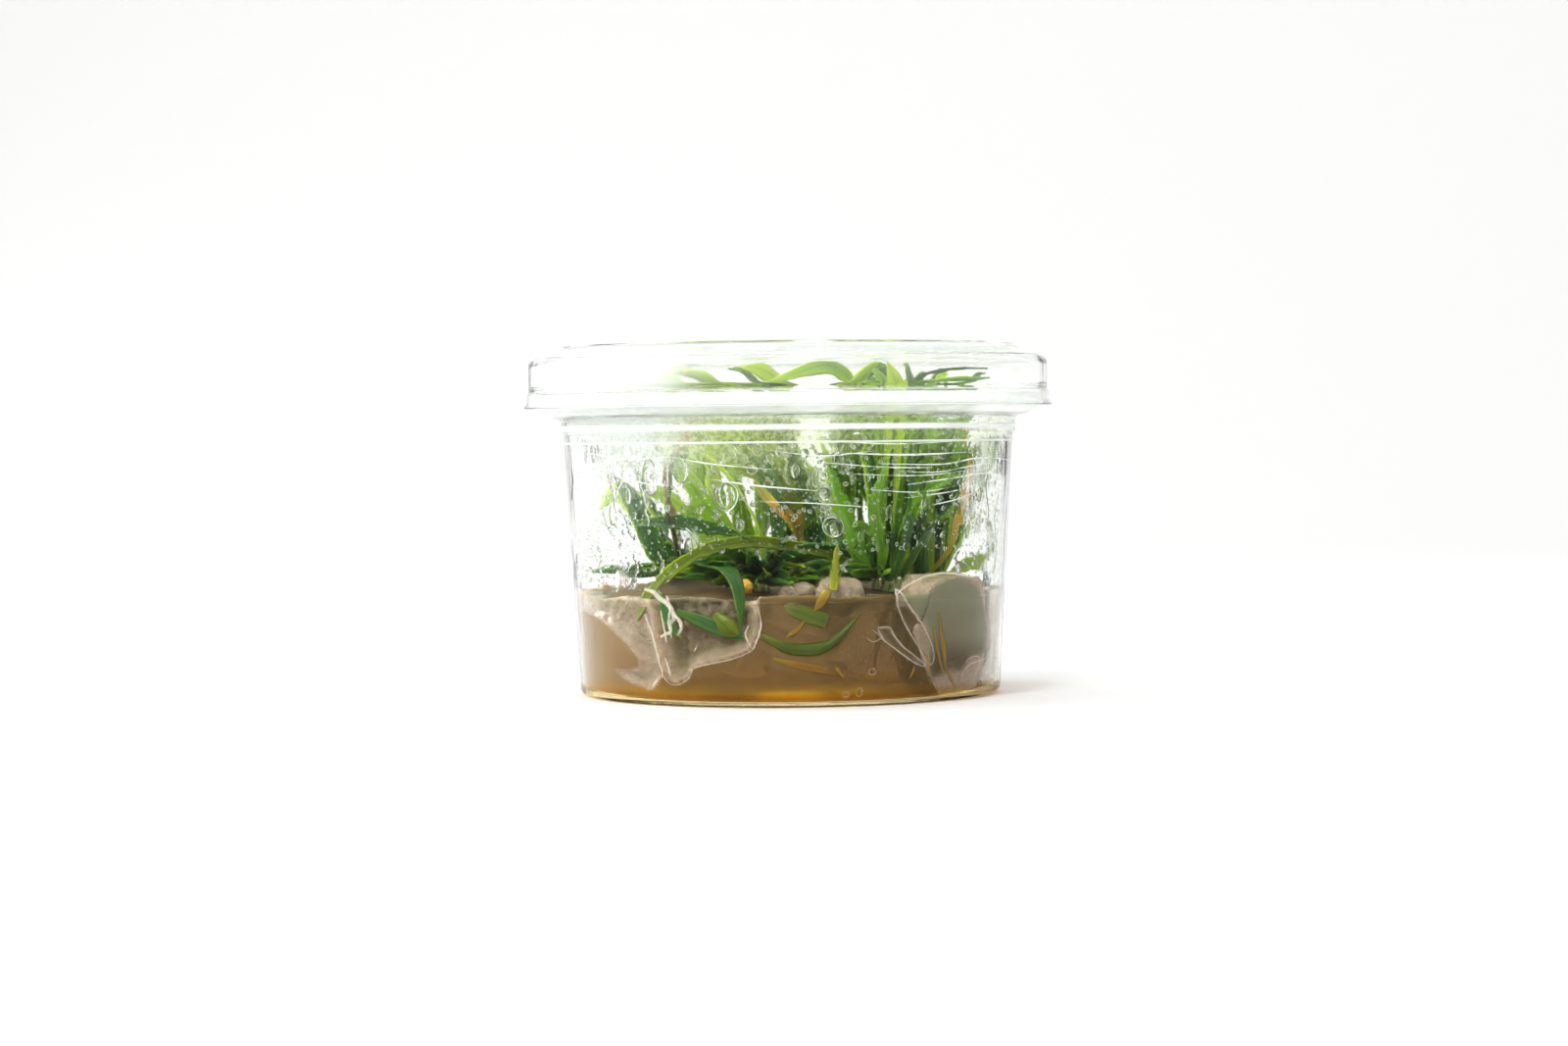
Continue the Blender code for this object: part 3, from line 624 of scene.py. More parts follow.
# the young leaves that fill each plant: how many, the sides they lean to in degrees, how far out and
# how high they go and how wide they are in mm, the looks they take in turn, and seed
sprays = [
    ("centre", 18, (105, 245), (6, 26), (40, 60), (2.0, 3.8), "lime deep fresh lime", 3),
    ("middle", 24, (100, 240), (8, 32), (42, 62), (2.2, 4.2), "lime fresh lime deep", 5),
    ("back_left", 24, (40, 250), (4, 24), (38, 62), (2.2, 4.2), "fresh lime lime pale", 8),
    ("left", 14, (90, 265), (3, 14), (32, 54), (1.8, 3.6), "deep fresh deep", 13),
    ("front_right", 16, (-80, 120), (1, 14), (38, 61), (2.0, 3.4), "deep grass grass", 21),
    ("right", 16, (-70, 170), (2, 11), (38, 61), (2.0, 3.6), "deep grass grass", 34),
    ("back_right", 20, (-60, 190), (3, 16), (40, 62), (2.2, 4.0), "grass fresh deep", 55),
    ("centre", 34, (-60, 300), (4, 17), (22.5, 30), (1.2, 2.8), "deep deep grass", 89),
    ("middle", 20, (150, 330), (4, 16), (23, 33), (1.4, 3.0), "deep grass", 377),
    ("front_right", 18, (60, 300), (3, 12), (23, 34), (1.2, 3.0), "deep deep grass", 144),
    ("left", 12, (0, 360), (3, 11), (25, 34), (1.2, 2.6), "deep fresh", 233),
    ("centre", 34, (195, 350), (7, 20), (22.6, 29), (1.6, 3.2), "deep grass deep olive", 610),
    ("front_right", 16, (130, 235), (5, 15), (23, 30), (1.4, 3.0), "deep", 987),
    ("left", 16, (150, 270), (9, 18), (24.5, 28), (1.2, 2.6), "deep", 1597),
    ("left", 18, (150, 260), (8, 17), (22.6, 24.2), (1.0, 2.2), "deep", 5),
    ("centre", 30, (235, 335), (12, 25), (21.8, 25.0), (1.2, 2.8), "deep deep olive deep grass", 6),
    ("front_right", 12, (185, 275), (6, 13), (22.0, 25.0), (1.2, 2.4), "deep grass deep", 4),
    ("middle", 9, (190, 330), (10, 26), (60, 63), (3.0, 4.6), "fresh lime deep", 1),
    ("right", 6, (120, 280), (5, 14), (60, 63), (2.6, 4.0), "deep fresh", 2),
    ("back_left", 6, (150, 300), (6, 20), (60, 63), (3.0, 4.4), "fresh lime", 7),
    ("back_right", 6, (180, 340), (6, 20), (60, 63), (3.0, 4.4), "deep fresh", 9),
]
youngBlade = {"thin": 0.85, "along": 36, "across": 6, "turnFoot": (-20, 30), "turnTip": (40, 190)}
leafLooks = {
    # blade, young foot and tip
    "fresh": ((0.190, 0.320, 0.003), (0.28, 0.38, 0.03), (0.36, 0.44, 0.006)),
    "pale": ((0.36, 0.50, 0.06), (0.50, 0.56, 0.20), (0.52, 0.56, 0.14)),
    "deep": ((0.030, 0.100, 0.012), (0.07, 0.16, 0.02), (0.11, 0.22, 0.010)),
    "olive": ((0.112, 0.148, 0.002), (0.12, 0.17, 0.006), (0.18, 0.22, 0.004)),
    "orange": ((0.55, 0.31, 0.04), (0.22, 0.26, 0.04), (0.45, 0.16, 0.02)),
    "brown": ((0.30, 0.17, 0.07), (0.16, 0.12, 0.05), (0.50, 0.24, 0.06)),
    "lime": ((0.26, 0.36, 0.006), (0.26, 0.34, 0.03), (0.40, 0.44, 0.01)),
    "grass": ((0.100, 0.215, 0.004), (0.15, 0.24, 0.02), (0.24, 0.33, 0.008)),
    "straw": ((0.19, 0.20, 0.006), (0.22, 0.21, 0.02), (0.28, 0.25, 0.01)),
    "pressed": ((0.064, 0.096, 0.001), (0.10, 0.13, 0.004), (0.055, 0.08, 0.002)),
    "rust": ((0.19, 0.085, 0.001), (0.25, 0.18, 0.001), (0.035, 0.011, 0.001)),
    "sunk": ((0.078, 0.112, 0.001), (0.18, 0.16, 0.06), (0.045, 0.07, 0.001)),
    "amber": ((0.33, 0.175, 0.004), (0.28, 0.200, 0.006), (0.10, 0.035, 0.003)),
}


def leafFinish(name, bladeColour, footColour, tipColour):
    # a wet strap leaf: long veins, a darker midrib, mottling, and light through the blade
    material, kit, place = newMaterial("leaf_" + name)
    across, along = kit.parts(kit.out("ShaderNodeUVMap", "UV", {"uv_map": "leaf"}))[:2]
    tone = kit.mark("tone")
    blotch = kit.noise(place, 260.0, 4.0, 0.6, 0.4)
    speck = kit.noise(place, 2400.0, 3.0)
    foot = 0.62 if name == "orange" else 0.34
    colour = kit.mix(along.smooth(foot, foot - 0.34), rgb(*bladeColour), rgb(*footColour))
    colour = kit.mix(along.smooth(0.72, 1.0) * (0.35 + 0.65 * tone), colour, rgb(*tipColour))
    lighter = tuple(min(c * 1.9 + 0.02, 1.0) for c in bladeColour)
    darker = tuple(c * 0.45 for c in bladeColour)
    colour = kit.mix(blotch.smooth(0.5, 0.8) * 0.55, colour, rgb(*lighter))
    colour = kit.mix(tone.smooth(0.45, 1.0) * 0.5, colour, rgb(*lighter))
    colour = kit.mix(tone.smooth(0.4, 0.0) * 0.6, colour, rgb(*darker))
    veins = (across * (math.pi * 2 * 7)).cosine() * 0.5 + 0.5
    rib = ((across - 0.5) * 9.0).size().smooth(1.0, 0.0)
    colour = kit.mix(veins ** 3.0 * 0.28, colour, rgb(*lighter))
    colour = kit.mix(rib * 0.45, colour, rgb(*darker))
    stain = kit.noise(place, 520.0, 5.0, 0.7, 1.2).smooth(0.66, 0.78)
    colour = kit.mix(stain * 0.55, colour, rgb(0.16, 0.13, 0.03))
    height = veins * 0.35 + rib * 0.6 + speck * 0.35
    kit.show(kit.coat({
        "Base Color": colour, "Roughness": 0.26 + 0.3 * blotch, "Normal": kit.bump(height, 0.5, 0.0001),
        "Subsurface Weight": 0.6, "Subsurface Radius": (0.8, 1.0, 0.1), "Subsurface Scale": 0.0009,
        "Specular IOR Level": 0.3, "Coat Weight": 0.2, "Coat Roughness": 0.06}))
    return material


leafMaterials = {name: leafFinish(name, *look) for name, look in leafLooks.items()}


def through(points, share):
    # a point on the smooth line through the points
    spans = len(points) - 1
    where = min(share * spans, spans - 0.000001)
    i = int(where)
    t = where - i
    before = points[i - 1] if i else points[0] * 2 - points[1]
    after = points[i + 2] if i + 2 <= spans else points[spans] * 2 - points[spans - 1]
    a, b = points[i], points[i + 1]
    return 0.5 * ((2 * a) + (b - before) * t + (2 * before - 5 * a + 4 * b - after) * t ** 2
                  + (3 * a - before - 3 * b + after) * t ** 3)


def stationsOf(points, facing, turnFoot, turnTip, steps):
    line = [through(points, i / steps) for i in range(steps + 1)]
    found = []
    across = None
    for i, point in enumerate(line):
        ahead = line[min(i + 1, steps)] - line[max(i - 1, 0)]
        ahead.normalize()
        across = ahead.cross(facing) if across is None else across - ahead * across.dot(ahead)
        across.normalize()
        turn = math.radians(turnFoot + (turnTip - turnFoot) * i / steps)
        side = Matrix.Rotation(turn, 3, ahead) @ across
        found.append((np.array(point), np.array(side), np.array(side.cross(ahead))))
    return found


def stubWidth(share):
    return min(0.75 + 0.5 * share, 1.0) * smoothStep(share * 5 + 0.25) * (1 if share < 0.98 else 0.86)


def leafWidth(share):
    foot = 0.42 + 0.58 * smoothStep(share / 0.35)
    tip = max(1 - max((share - 0.5) / 0.5, 0.0) ** 2.0, 0.0)
    return max(foot * tip, 0.04)


def bladeShell(stations, width, draw, thick, across, form=leafWidth, lively=1.0):
    # rings of points round a cupped, rippled blade; its edges are sharp
    rings, marks = [], []
    cup = blade["cup"] * draw.uniform(0.3, 1.4) * draw.choice((-1, 1))
    wave, phase, beats = blade["wave"] * draw.uniform(0.3, 1.6), draw.uniform(0, 6.3), draw.uniform(2.0, 5.0)
    cup, wave = cup * lively, wave * lively
    u = np.linspace(-1, 1, across + 1)
    there, back = range(across + 1), range(across - 1, 0, -1)  # over the upper face and back under it
    for i, (middle, side, face) in enumerate(stations):
        share = i / (len(stations) - 1)
        wide = form(share) * width
        half = thick / 2 * np.sqrt(np.maximum(1 - (u * 0.985) ** 2, 0.0))
        half = half + thick * 0.22 * np.exp(-((u / 0.16) ** 2))  # the rib
        half[0] = half[-1] = 0.0
        lift = cup * wide * (1 - u ** 2) + wave * wide * u ** 3 * math.sin(beats * 6.28 * share + phase)
        lift = lift - wave * wide * (u ** 2) * math.cos(beats * 4.1 * share + phase) * 0.6
        upper = [middle + side * (u[j] * wide / 2) + face * (lift[j] + half[j] * 0.7) for j in there]
        lower = [middle + side * (u[j] * wide / 2) + face * (lift[j] - half[j]) for j in back]
        rings.append(upper + lower)
        marks.append([((u[j] + 1) / 2, share) for j in (*there, *back)])
    count = 2 * across
    faces = ringFaces(0, count, len(rings), False)
    faces.append(tuple(range(count - 1, -1, -1)))
    faces.append(tuple(range((len(rings) - 1) * count, len(rings) * count)))
    return np.array(rings).reshape(-1, 3), faces, np.array(marks).reshape(-1, 2)


def bladeMesh(name, shells):
    # shells are (points, faces, marks, tone); they become one mesh
    points, faces, marks, tones = [], [], [], []
    start = 0
    for shellPoints, shellFaces, shellMarks, tone in shells:
        points.append(shellPoints * mm)
        faces.extend(tuple(index + start for index in face) for face in shellFaces)
        marks.append(shellMarks)
        tones.append(np.full(len(shellPoints), tone))
        start += len(shellPoints)
    points, marks, tones = np.concatenate(points), np.concatenate(marks), np.concatenate(tones)
    mesh = newMesh(name, points.tolist(), faces)
    layer = mesh.uv_layers.new(name="leaf")
    order = np.zeros(len(mesh.loops), np.int32)
    mesh.loops.foreach_get("vertex_index", order)
    layer.data.foreach_set("uv", marks[order].astype(np.float32).ravel())
    setMarks(mesh, tone=tones)
    faceOut(mesh)
    return mesh


def makeNamedLeaves():
    for plant, (x, y, lift) in crowns.items():
        for i, (side, width, foot, tip, colour, route) in enumerate(leafRoutes[plant], start=1):
            draw = random.Random(f"{plant}{i}")
            facing = Vector((math.cos(math.radians(side)), math.sin(math.radians(side)), -1.0))
            out = seat["radius"]
            start = Vector((x + out * facing.x, y + out * facing.y, seat["height"] + lift))
            stations = stationsOf([start, *map(Vector, route)], facing, foot, tip, blade["along"])
            share = broadLeaves.get((plant, i), blade["narrow"])
            form = stubWidth if colour == "olive" else leafWidth
            shell = bladeShell(stations, width * share, draw, blade["thick"], blade["across"], form)
            mesh = bladeMesh(f"blade_{plant}_{i}", [shell + (draw.uniform(0.2, 0.9),)])
            obj = newObject(mesh.name, mesh)
            look = otherLooks.get((plant, i), colour)
            keep(obj, leafMaterials[look], "leaf_" + colour, f"leaf_{plant}_{i}")
    for name, (width, colour, route) in wallLeaves.items():
        draw = random.Random(name)
        points = [wallPoint(degrees, height, 0.26) for degrees, height in route]
        facing = Vector((points[0].x, points[0].y, 0.0))
        stations = stationsOf(points, facing, 0, 0, blade["along"])
        form = stubWidth if "stub" in name else leafWidth
        share = 0.76 if "yellow" in name else 1.1
        shell = bladeShell(stations, width * share, draw, blade["thick"], blade["across"], form)
        mesh = bladeMesh(name.replace("wall_leaf", "pressed_leaf"), [shell + (0.3,)])
        keep(newObject(mesh.name, mesh), leafMaterials[pressedLooks[colour]], "leaf_" + colour, name)
    for index, (look, width, form, route) in enumerate(looseEnds):
        stations = stationsOf([*map(Vector, route)], Vector(route[0]) * Vector((1, 1, 0)), 0, 20, 24)
        form = stubWidth if form == "stub" else leafWidth
        shell = bladeShell(stations, width, random.Random(index), blade["thick"], blade["across"], form)
        mesh = bladeMesh(f"loose_end_{index + 1}", [shell + (0.4,)])
        keep(newObject(mesh.name, mesh), leafMaterials[look], "leaf_fresh")
    shells = []
    for index, (look, width, route) in enumerate(flatRoots):
        points = [wallPoint(degrees, height, 0.03) for degrees, height in route]
        stations = stationsOf(points, Vector((points[0].x, points[0].y, 0.0)), 0, 0, 30)
        shell = bladeShell(stations, width * 1.15, random.Random(index), 0.03, 4, leafWidth, 0.0)
        shells.append(shell + (0.1 * index,))
    mesh = bladeMesh("roots_on_wall", shells)
    keep(newObject(mesh.name, mesh), leafMaterials["amber"], "leaf_orange")


def sprayRoute(crown, side, lean, top, draw):
    # up from the crown, then out, with its tip sometimes hanging over
    x, y, lift = crown
    out = Vector((math.cos(side), math.sin(side), 0.0))
    sway = Vector((-out.y, out.x, 0.0)) * draw.uniform(-3.0, 3.0)
    start = Vector((x, y, seat["height"] + lift)) + out * draw.uniform(1.6, 2.9)
    rise = top - start.z
    droop = draw.uniform(0.0, 0.16) if draw.random() < 0.45 else 0.0
    points = [start]
    for share in (0.3, 0.6, 0.85, 1.0):
        height = start.z + rise * (math.sin(share * math.pi / 2) - droop * max(share - 0.6, 0) / 0.4)
        point = start + out * lean * share ** 1.5 + sway * share ** 2
        point.z = height
        reach = math.hypot(point.x, point.y)
        limit = roomAt(height) - 1.3
        if reach > limit:
            point.x *= limit / reach
            point.y *= limit / reach
        points.append(point)
    return points


def blocksView(route):
    # whether a young leaf would cross a place that the photo shows open
    for i in range(25):
        point = through(route, i / 24)
        for left, right, low, high in clearings:
            if left < point.x < right and low < point.z < high:
                return True
    return False


def makeSprays():
    shells = {}
    thick = blade["thick"] * youngBlade["thin"]
    for plant, leaves, (low, high), lean, top, width, looks, seed in sprays:
        draw = random.Random(seed)
        looks = looks.split()
        for k in range(leaves):
            side = math.radians(low + (high - low) * (k + draw.random()) / leaves)
            route = sprayRoute(crowns[plant], side, draw.uniform(*lean), draw.uniform(*top), draw)
            if blocksView(route):
                continue
            facing = Vector((math.cos(side), math.sin(side), -1.0))
            foot, tip = draw.uniform(*youngBlade["turnFoot"]), draw.uniform(*youngBlade["turnTip"])
            stations = stationsOf(route, facing, foot, tip, youngBlade["along"])
            shell = bladeShell(stations, draw.uniform(*width), draw, thick, youngBlade["across"])
            shells.setdefault(looks[k % len(looks)], []).append(shell + (draw.random(),))
    for colour, found in shells.items():
        mesh = bladeMesh("young_leaves_" + colour, found)
        slotName = "leaf_" + (colour if colour in ("pale", "deep", "olive") else "fresh")
        keep(newObject(mesh.name, mesh), leafMaterials[colour], slotName)


makeNamedLeaves()
makeSprays()
print("leaves are grown")


gel = {
    "level": 19.6, "contact": 0.05, "around": 384, "roughness": 0.8, "bumpScale": 0.11, "fine": 0.22,
    "meniscus": 0.9, "mounds": [(-21.0, -1.0, 3.2, 7.0), (17.0, -13.0, 1.2, 7.0)],
    "sides": [19.1 - 0.5 * i for i in range(35)],
    "tops": [
        0.01, 3, 6, 9, 12, 15, 18, 20.5, 23, 25, 27, 29, 30.7, 32.2, 33.6, 34.8, 35.9, 36.9, 37.7, 38.4,
        39.0, 39.5,
    ],
}
# places where air lies between gel and wall: an outline of degrees round from the front and heights,
# and how deep the gel has drawn back there
hollows = [
    {"rim": 2.6, "depth": 4.0, "outline": [
        (-42.5, 23.3), (-41.1, 16.8), (-38.6, 12.4), (-36.9, 8.0), (-35.1, 5.0), (-31.9, 4.0), (-28.1, 5.1),
        (-26.2, 7.1), (-22.2, 7.9), (-15.8, 8.9), (-10.4, 10.4), (-8.3, 12.9), (-7.5, 15.5), (-8.2, 18.6),
        (-6.6, 23.2)]},
    {"rim": 4.6, "depth": 1.1, "outline": [
        (-88, 23), (-40, 23), (-38.5, 14.2), (-35.6, 5.6), (-40.2, 2.6), (-50.3, 4.3), (-56, 6.1),
        (-45.3, 6.8), (-44.4, 8.3), (-49.4, 11.2), (-61.3, 15.4), (-76.7, 16.4), (-88, 14)]},
    {"rim": 0.6, "depth": 0.9, "pale": 0.3, "outline": [
        (28.3, 21.2), (29.3, 17.6), (31.6, 14.4), (34.6, 11.6), (37.1, 9.2), (39.3, 7.2), (41.1, 7.7),
        (40.9, 9.8), (38.6, 12.8), (35.7, 15.7), (32.3, 18.3), (30.1, 20.5)]},
    {"rim": 0.7, "depth": 1.0, "pale": 0.35, "outline": [
        (23.3, 14.3), (24.9, 12.3), (28.5, 10.3), (32.3, 8.6), (35.6, 7.3), (38.3, 7.0), (34.8, 8.9),
        (31.5, 10.4), (28.4, 12.6), (26.8, 14.3)]},
    {"rim": 4.5, "depth": 0.9, "outline": [
        (66, 23.5), (67, 15.3), (69.5, 9.7), (67, 6.8), (58, 4.2), (66, 2.6), (84, 3.0), (88, 12),
        (86, 23.5)]},
]
# the right lump's face against the wall
lumpRim = [
    (28.7, 17.6), (29.2, 20.5), (35.6, 22.9), (43.4, 23.8), (54.8, 22.9), (61.0, 20.9), (64.6, 15.3),
    (68.1, 9.7), (66.2, 7.5), (57.0, 6.6), (52.3, 4.8), (40.0, 4.0), (38.6, 12.8), (32.3, 18.3),
]
# middle and half sizes in mm, and seed
lumps = {
    "gel_lump_right": ((29.0, -24.0, 12.4), (10.6, 8.4, 11.6), 2),
    "gel_lump_front": ((9.4, -29.0, 20.2), (4.4, 3.6, 3.0), 5),
    "gel_lump_small": ((1.6, -25.0, 20.0), (3.6, 2.8, 2.2), 8),
}


def hollowAt(degrees, height):
    # how far the gel has drawn back at a place on the wall, and how much of that place is drawn back
    deepest, share, rim = 0.0, 0.0, 0.0
    for width, colour, route in wallLeaves.values():  # the pressed leaves lie in grooves
        points = [Vector((turn * wallDegree, high)) for turn, high in route]
        for i in range(33):
            near = (through(points, i / 32) - Vector((degrees * wallDegree, height))).length
            deepest = max(deepest, 0.5 * smoothStep(2.4 - near / (0.5 * width + 0.25)))
    for hollow in hollows:
        inside, nearest = edgeDistance(hollow["outline"], degrees, height)
        if inside:
            deepest = max(deepest, hollow["depth"] * smoothStep(nearest / (1.2 * hollow["depth"])))
            share = max(share, hollow.get("pale", 1.0) * smoothStep(nearest / 0.7))
            width = hollow["rim"] * (1.0 + 0.8 * noise.noise(Vector((degrees * 0.12, height * 0.17, 2.0))))
            rim = max(rim, (1 - smoothStep(nearest / width)) * smoothStep(nearest / 0.3))
    return deepest, share, rim


def gelTop(x, y):
    # how high the broken top stands over its level
    bump = gel["roughness"] * noise.noise(Vector((x * gel["bumpScale"], y * gel["bumpScale"], 0.7)))
    bump += gel["fine"] * noise.noise(Vector((x * 0.45, y * 0.45, 3.1)))
    bump += gel["fine"] * 0.4 * abs(noise.noise(Vector((x * 1.2, y * 1.2, 5.1))))
    for moundX, moundY, height, spread in gel["mounds"]:
        bump += height * math.exp(-((x - moundX) ** 2 + (y - moundY) ** 2) / spread ** 2)
    return bump


def gelFinish(name, first, second, shaded, share):
    # cloudy agar: part of it lets light through, part of it scatters, and it is paler where it is dry
    material, kit, place = newMaterial(name)
    x, y, z = kit.parts(place)
    dry, rim, chunk = kit.mark("dry"), kit.mark("rim"), kit.mark("chunk")
    cloud = kit.noise(place, 90.0, 3.0, 0.5, 0.6)
    grain = kit.noise(place, 700.0, 4.0, 0.6)
    wet = kit.mix(cloud, rgb(*first), rgb(*second))
    wet = kit.mix(x.smooth(-0.005, 0.035) * 0.7, wet, rgb(*shaded))
    wet = kit.mix(z.smooth(0.012, 0.001) * 0.6, wet, rgb(0.17, 0.09, 0.01))
    wet = kit.mix(x.smooth(-0.018, -0.038) * 0.6, wet, rgb(0.40, 0.27, 0.135))
    # painted light: a golden glow near the base, where light from the floor comes in, weaker on the right, and a
    # small golden highlight at the front
    glow = kit.noise(kit.stretched(place, 3.0), 60.0, 2.0).smooth(0.35, 0.7)
    lit = (0.35 + 0.65 * glow) * (1.0 - 0.85 * x.smooth(0.008, 0.026))
    wet = kit.mix(z.smooth(0.0050, 0.0020) * lit, wet, rgb(0.46, 0.27, 0.025))
    goldHighlight = x.smooth(-0.009, -0.003) * x.smooth(0.008, 0.002) * z.smooth(0.0036, 0.0024)
    wet = kit.mix(goldHighlight * 0.5, wet, rgb(0.75, 0.46, 0.03))
    stain = kit.noise(place, 170.0, 4.0, 0.6, 0.8).smooth(0.60, 0.72)
    hollow = kit.mix(grain, rgb(0.16, 0.135, 0.080), rgb(0.38, 0.33, 0.22))
    hollow = kit.mix(stain * 0.6, hollow, rgb(0.045, 0.05, 0.02))
    colour = kit.mix(dry * 0.75, wet, hollow)
    # painted shade: the gel darker away from the wall, under the plants
    colour = kit.mix(roundReach(x, y).smooth(0.0384, 0.0368) * 0.4, colour, rgb(0.050, 0.045, 0.018))
    slab = kit.mix(cloud, rgb(0.215, 0.222, 0.145), rgb(0.285, 0.285, 0.190))
    slab = kit.mix(z.smooth(0.0135, 0.007) * 0.85, slab, rgb(0.070, 0.052, 0.022))
    colour = kit.mix(chunk, colour, slab)
    mound = z.smooth(0.0192, 0.0212) * x.smooth(-0.005, -0.014) * 0.55
    colour = kit.mix(mound, colour, rgb(0.36, 0.29, 0.19))
    colour = kit.mix(x.smooth(0.0355, 0.0380) * 0.75, colour, rgb(0.74, 0.68, 0.58))
    pink = kit.mix(grain, rgb(0.30, 0.205, 0.13), rgb(0.62, 0.49, 0.37))
    colour = kit.mix(rim * 0.85, colour, pink)
    bubbles = kit.noise(place, 1400.0, 1.0).smooth(0.73, 0.77)
    colour = kit.mix(bubbles * 0.5, colour, rgb(0.52, 0.42, 0.27))
    ridges = kit.noise(place, 420.0, 4.0, 0.6, 1.5)
    normal = kit.bump(ridges * (dry + rim), 0.9, 0.0008)
    dull = 0.22 + 0.45 * z.smooth(0.0188, 0.0196)  # the top doesn't mirror the room
    cloudy = kit.coat({
        "Base Color": colour, "Roughness": dull, "Normal": normal, "Subsurface Weight": 0.6,
        "Subsurface Radius": (1.0, 0.7, 0.45), "Subsurface Scale": 0.006, "IOR": 1.08,
        "Coat Weight": (dry + rim) * 0.7, "Coat Roughness": 0.04})
    glassy = kit.coat({
        "Base Color": rgb(0.93, 0.82, 0.62), "Roughness": dull, "IOR": 1.2, "Transmission Weight": 1.0,
        "Normal": normal})
    thick = share + 0.2 * dry + 0.1 * cloud + 0.2 * z.smooth(0.0160, 0.0195)
    kit.showLampsThrough(kit.blend(thick, glassy, cloudy), 0.72, 0.60, 0.45)
    amber = kit.out("ShaderNodeVolumeAbsorption", "Volume", None, {
        "Color": rgb(0.80, 0.52, 0.22), "Density": 24.0})
    kit.tree.links.new(amber.socket, kit.tree.nodes["Material Output"].inputs["Volume"])
    return material


def lumpMesh(name, middle, sizes, seed, swell, fineness, square=0.72):
    # a dented, rather blocky ball
    mesh = bpy.data.meshes.new(name)
    body = bmesh.new()
    bmesh.ops.create_icosphere(body, subdivisions=fineness, radius=1.0)
    for vertex in body.verts:
        dent = 1 + 0.12 * noise.noise(vertex.co * 1.7 + Vector((seed, 0.0, 0.0)))
        dent += 0.035 * noise.noise(vertex.co * 5.0 + Vector((0.0, seed, 0.0)))
        dent -= 0.03 * abs(noise.noise(vertex.co * 9.0 + Vector((0.0, 0.0, seed))))
        blocky = [math.copysign(abs(value) ** square, value) for value in vertex.co]
        vertex.co = Vector([middle[i] + blocky[i] * (sizes[i] * dent + swell) for i in range(3)]) * mm
    body.to_mesh(mesh)
    body.free()
    return mesh


def cutBy(obj, tool, operation):
    boolean = obj.modifiers.new("cut", "BOOLEAN")
    boolean.operation = operation
    boolean.solver = "EXACT"
    boolean.object = tool


def jarSpace(clearance):
    # the room inside the cup, to cut the lumps with
    floor = insideFloor + clearance
    heights = [40.0, 30.0] + [26.0 - 0.6 * i for i in range(39)] + [2.3]
    outline = [(0, 40.0)] + [(innerWall(height) - clearance, height) for height in heights] + [
        (jar["footOuter"] - 0.5, floor - 0.4), (jar["footInner"] + 0.1, floor - 0.4),
        (jar["footInner"] - 0.9, floor), (0, floor),
    ]
    return turned("jarSpace", outline, 2 * jar["steps"])


def makeGel(material, lumpMaterial):
    floor = insideFloor + gel["contact"]
    edge = innerWall(gel["level"]) - gel["contact"]
    rings = [(radius, gel["level"], "top") for radius in gel["tops"]] + [(edge, gel["level"], "top")]
    rings += [(innerWall(height) - gel["contact"], height, "side") for height in gel["sides"]]
    rings += [(jar["footOuter"] - 0.4, floor - 0.4, "base"), (jar["footInner"] + 0.1, floor - 0.4, "base"),
              (jar["footInner"] - 0.9, floor, "base"), (0.01, floor, "base")]
    around = gel["around"]
    points, dryness, rims, chunks = [], [], [], []
    for radius, height, kind in rings:
        for k in range(around):
            degrees = 360 * k / around - 180
            angle = math.radians(degrees)
            r, z, share, rim, chunk = radius, height, 0.0, 0.0, 0.0
            if kind != "base" and radius > 30 and abs(degrees) < 92:
                drawn, share, rim = hollowAt(degrees, height)
                if kind == "top":
                    drawn *= smoothStep((radius - 33) / 5)
                    share *= smoothStep((radius - 35) / 4)
                rough = noise.noise(Vector((degrees * 0.35, height * 0.5, 1.0)))
                rough += 0.6 * noise.noise(Vector((degrees * 0.9, height * 1.3, 4.0)))
                r -= drawn * (1 + 0.45 * rough)
                inside, nearest = edgeDistance(lumpRim, degrees, height)
                if inside and share < 0.5:
                    chunk = smoothStep(nearest / 0.8)
                    width = (0.8 if height < 19 else 1.6) + rough
                    rim = max(rim, 0.7 * (1 - smoothStep(nearest / width)))
            x, y = r * math.sin(angle), -r * math.cos(angle)
            if kind == "top":
                z += gelTop(x, y)
                if radius > 38.3:
                    ragged = 0.1 + 1.5 * abs(noise.noise(Vector((degrees * 0.09, 0.0, 8.0))))
                    ragged += 1.1 * abs(noise.noise(Vector((degrees * 0.32, 0.0, 3.0))))
                    climb = smoothStep((radius - 38.3) / (edge - 38.3))
                    z += gel["meniscus"] * ragged * max(1 - share * 2, 0.0) * climb
            points.append((x * mm, y * mm, z * mm))
            dryness.append(share)
            rims.append(rim)
            chunks.append(chunk)
    faces = []
    for i in range(len(rings) - 1):
        for k in range(around):
            n = (k + 1) % around
            faces.append((i * around + k, (i + 1) * around + k, (i + 1) * around + n, i * around + n))
    mesh = newMesh("agar_bed", points, faces)
    setMarks(mesh, dry=dryness, rim=rims, chunk=chunks)
    faceOut(mesh, weld=0.02 * mm)
    faceOut(mesh, fill=True)
    bed = newObject("agar_bed", mesh)
    space = jarSpace(gel["contact"])
    tools = [space]
    for name, (middle, sizes, seed) in lumps.items():
        socket = newObject(name + "_socket", lumpMesh(name + "_socket", middle, sizes, seed, 0.12, 4))
        tools.append(socket)
        cutBy(bed, socket, "DIFFERENCE")
    bed = settled(bed)
    bed.data.shade_smooth()
    keep(bed, material, "agar_gel", "gel_bed")
    for name, (middle, sizes, seed) in lumps.items():
        body = lumpMesh(name + "_chunk", middle, sizes, seed, 0.0, 5)
        chunk = newObject(name.replace("gel_", "agar_"), body)
        cutBy(chunk, space, "INTERSECT")
        chunk = settled(chunk)
        chunk.data.shade_smooth()
        markDry(chunk.data)
        keep(chunk, lumpMaterial, "agar_gel", name)
    for tool in tools:
        bpy.data.objects.remove(tool, do_unlink=True)


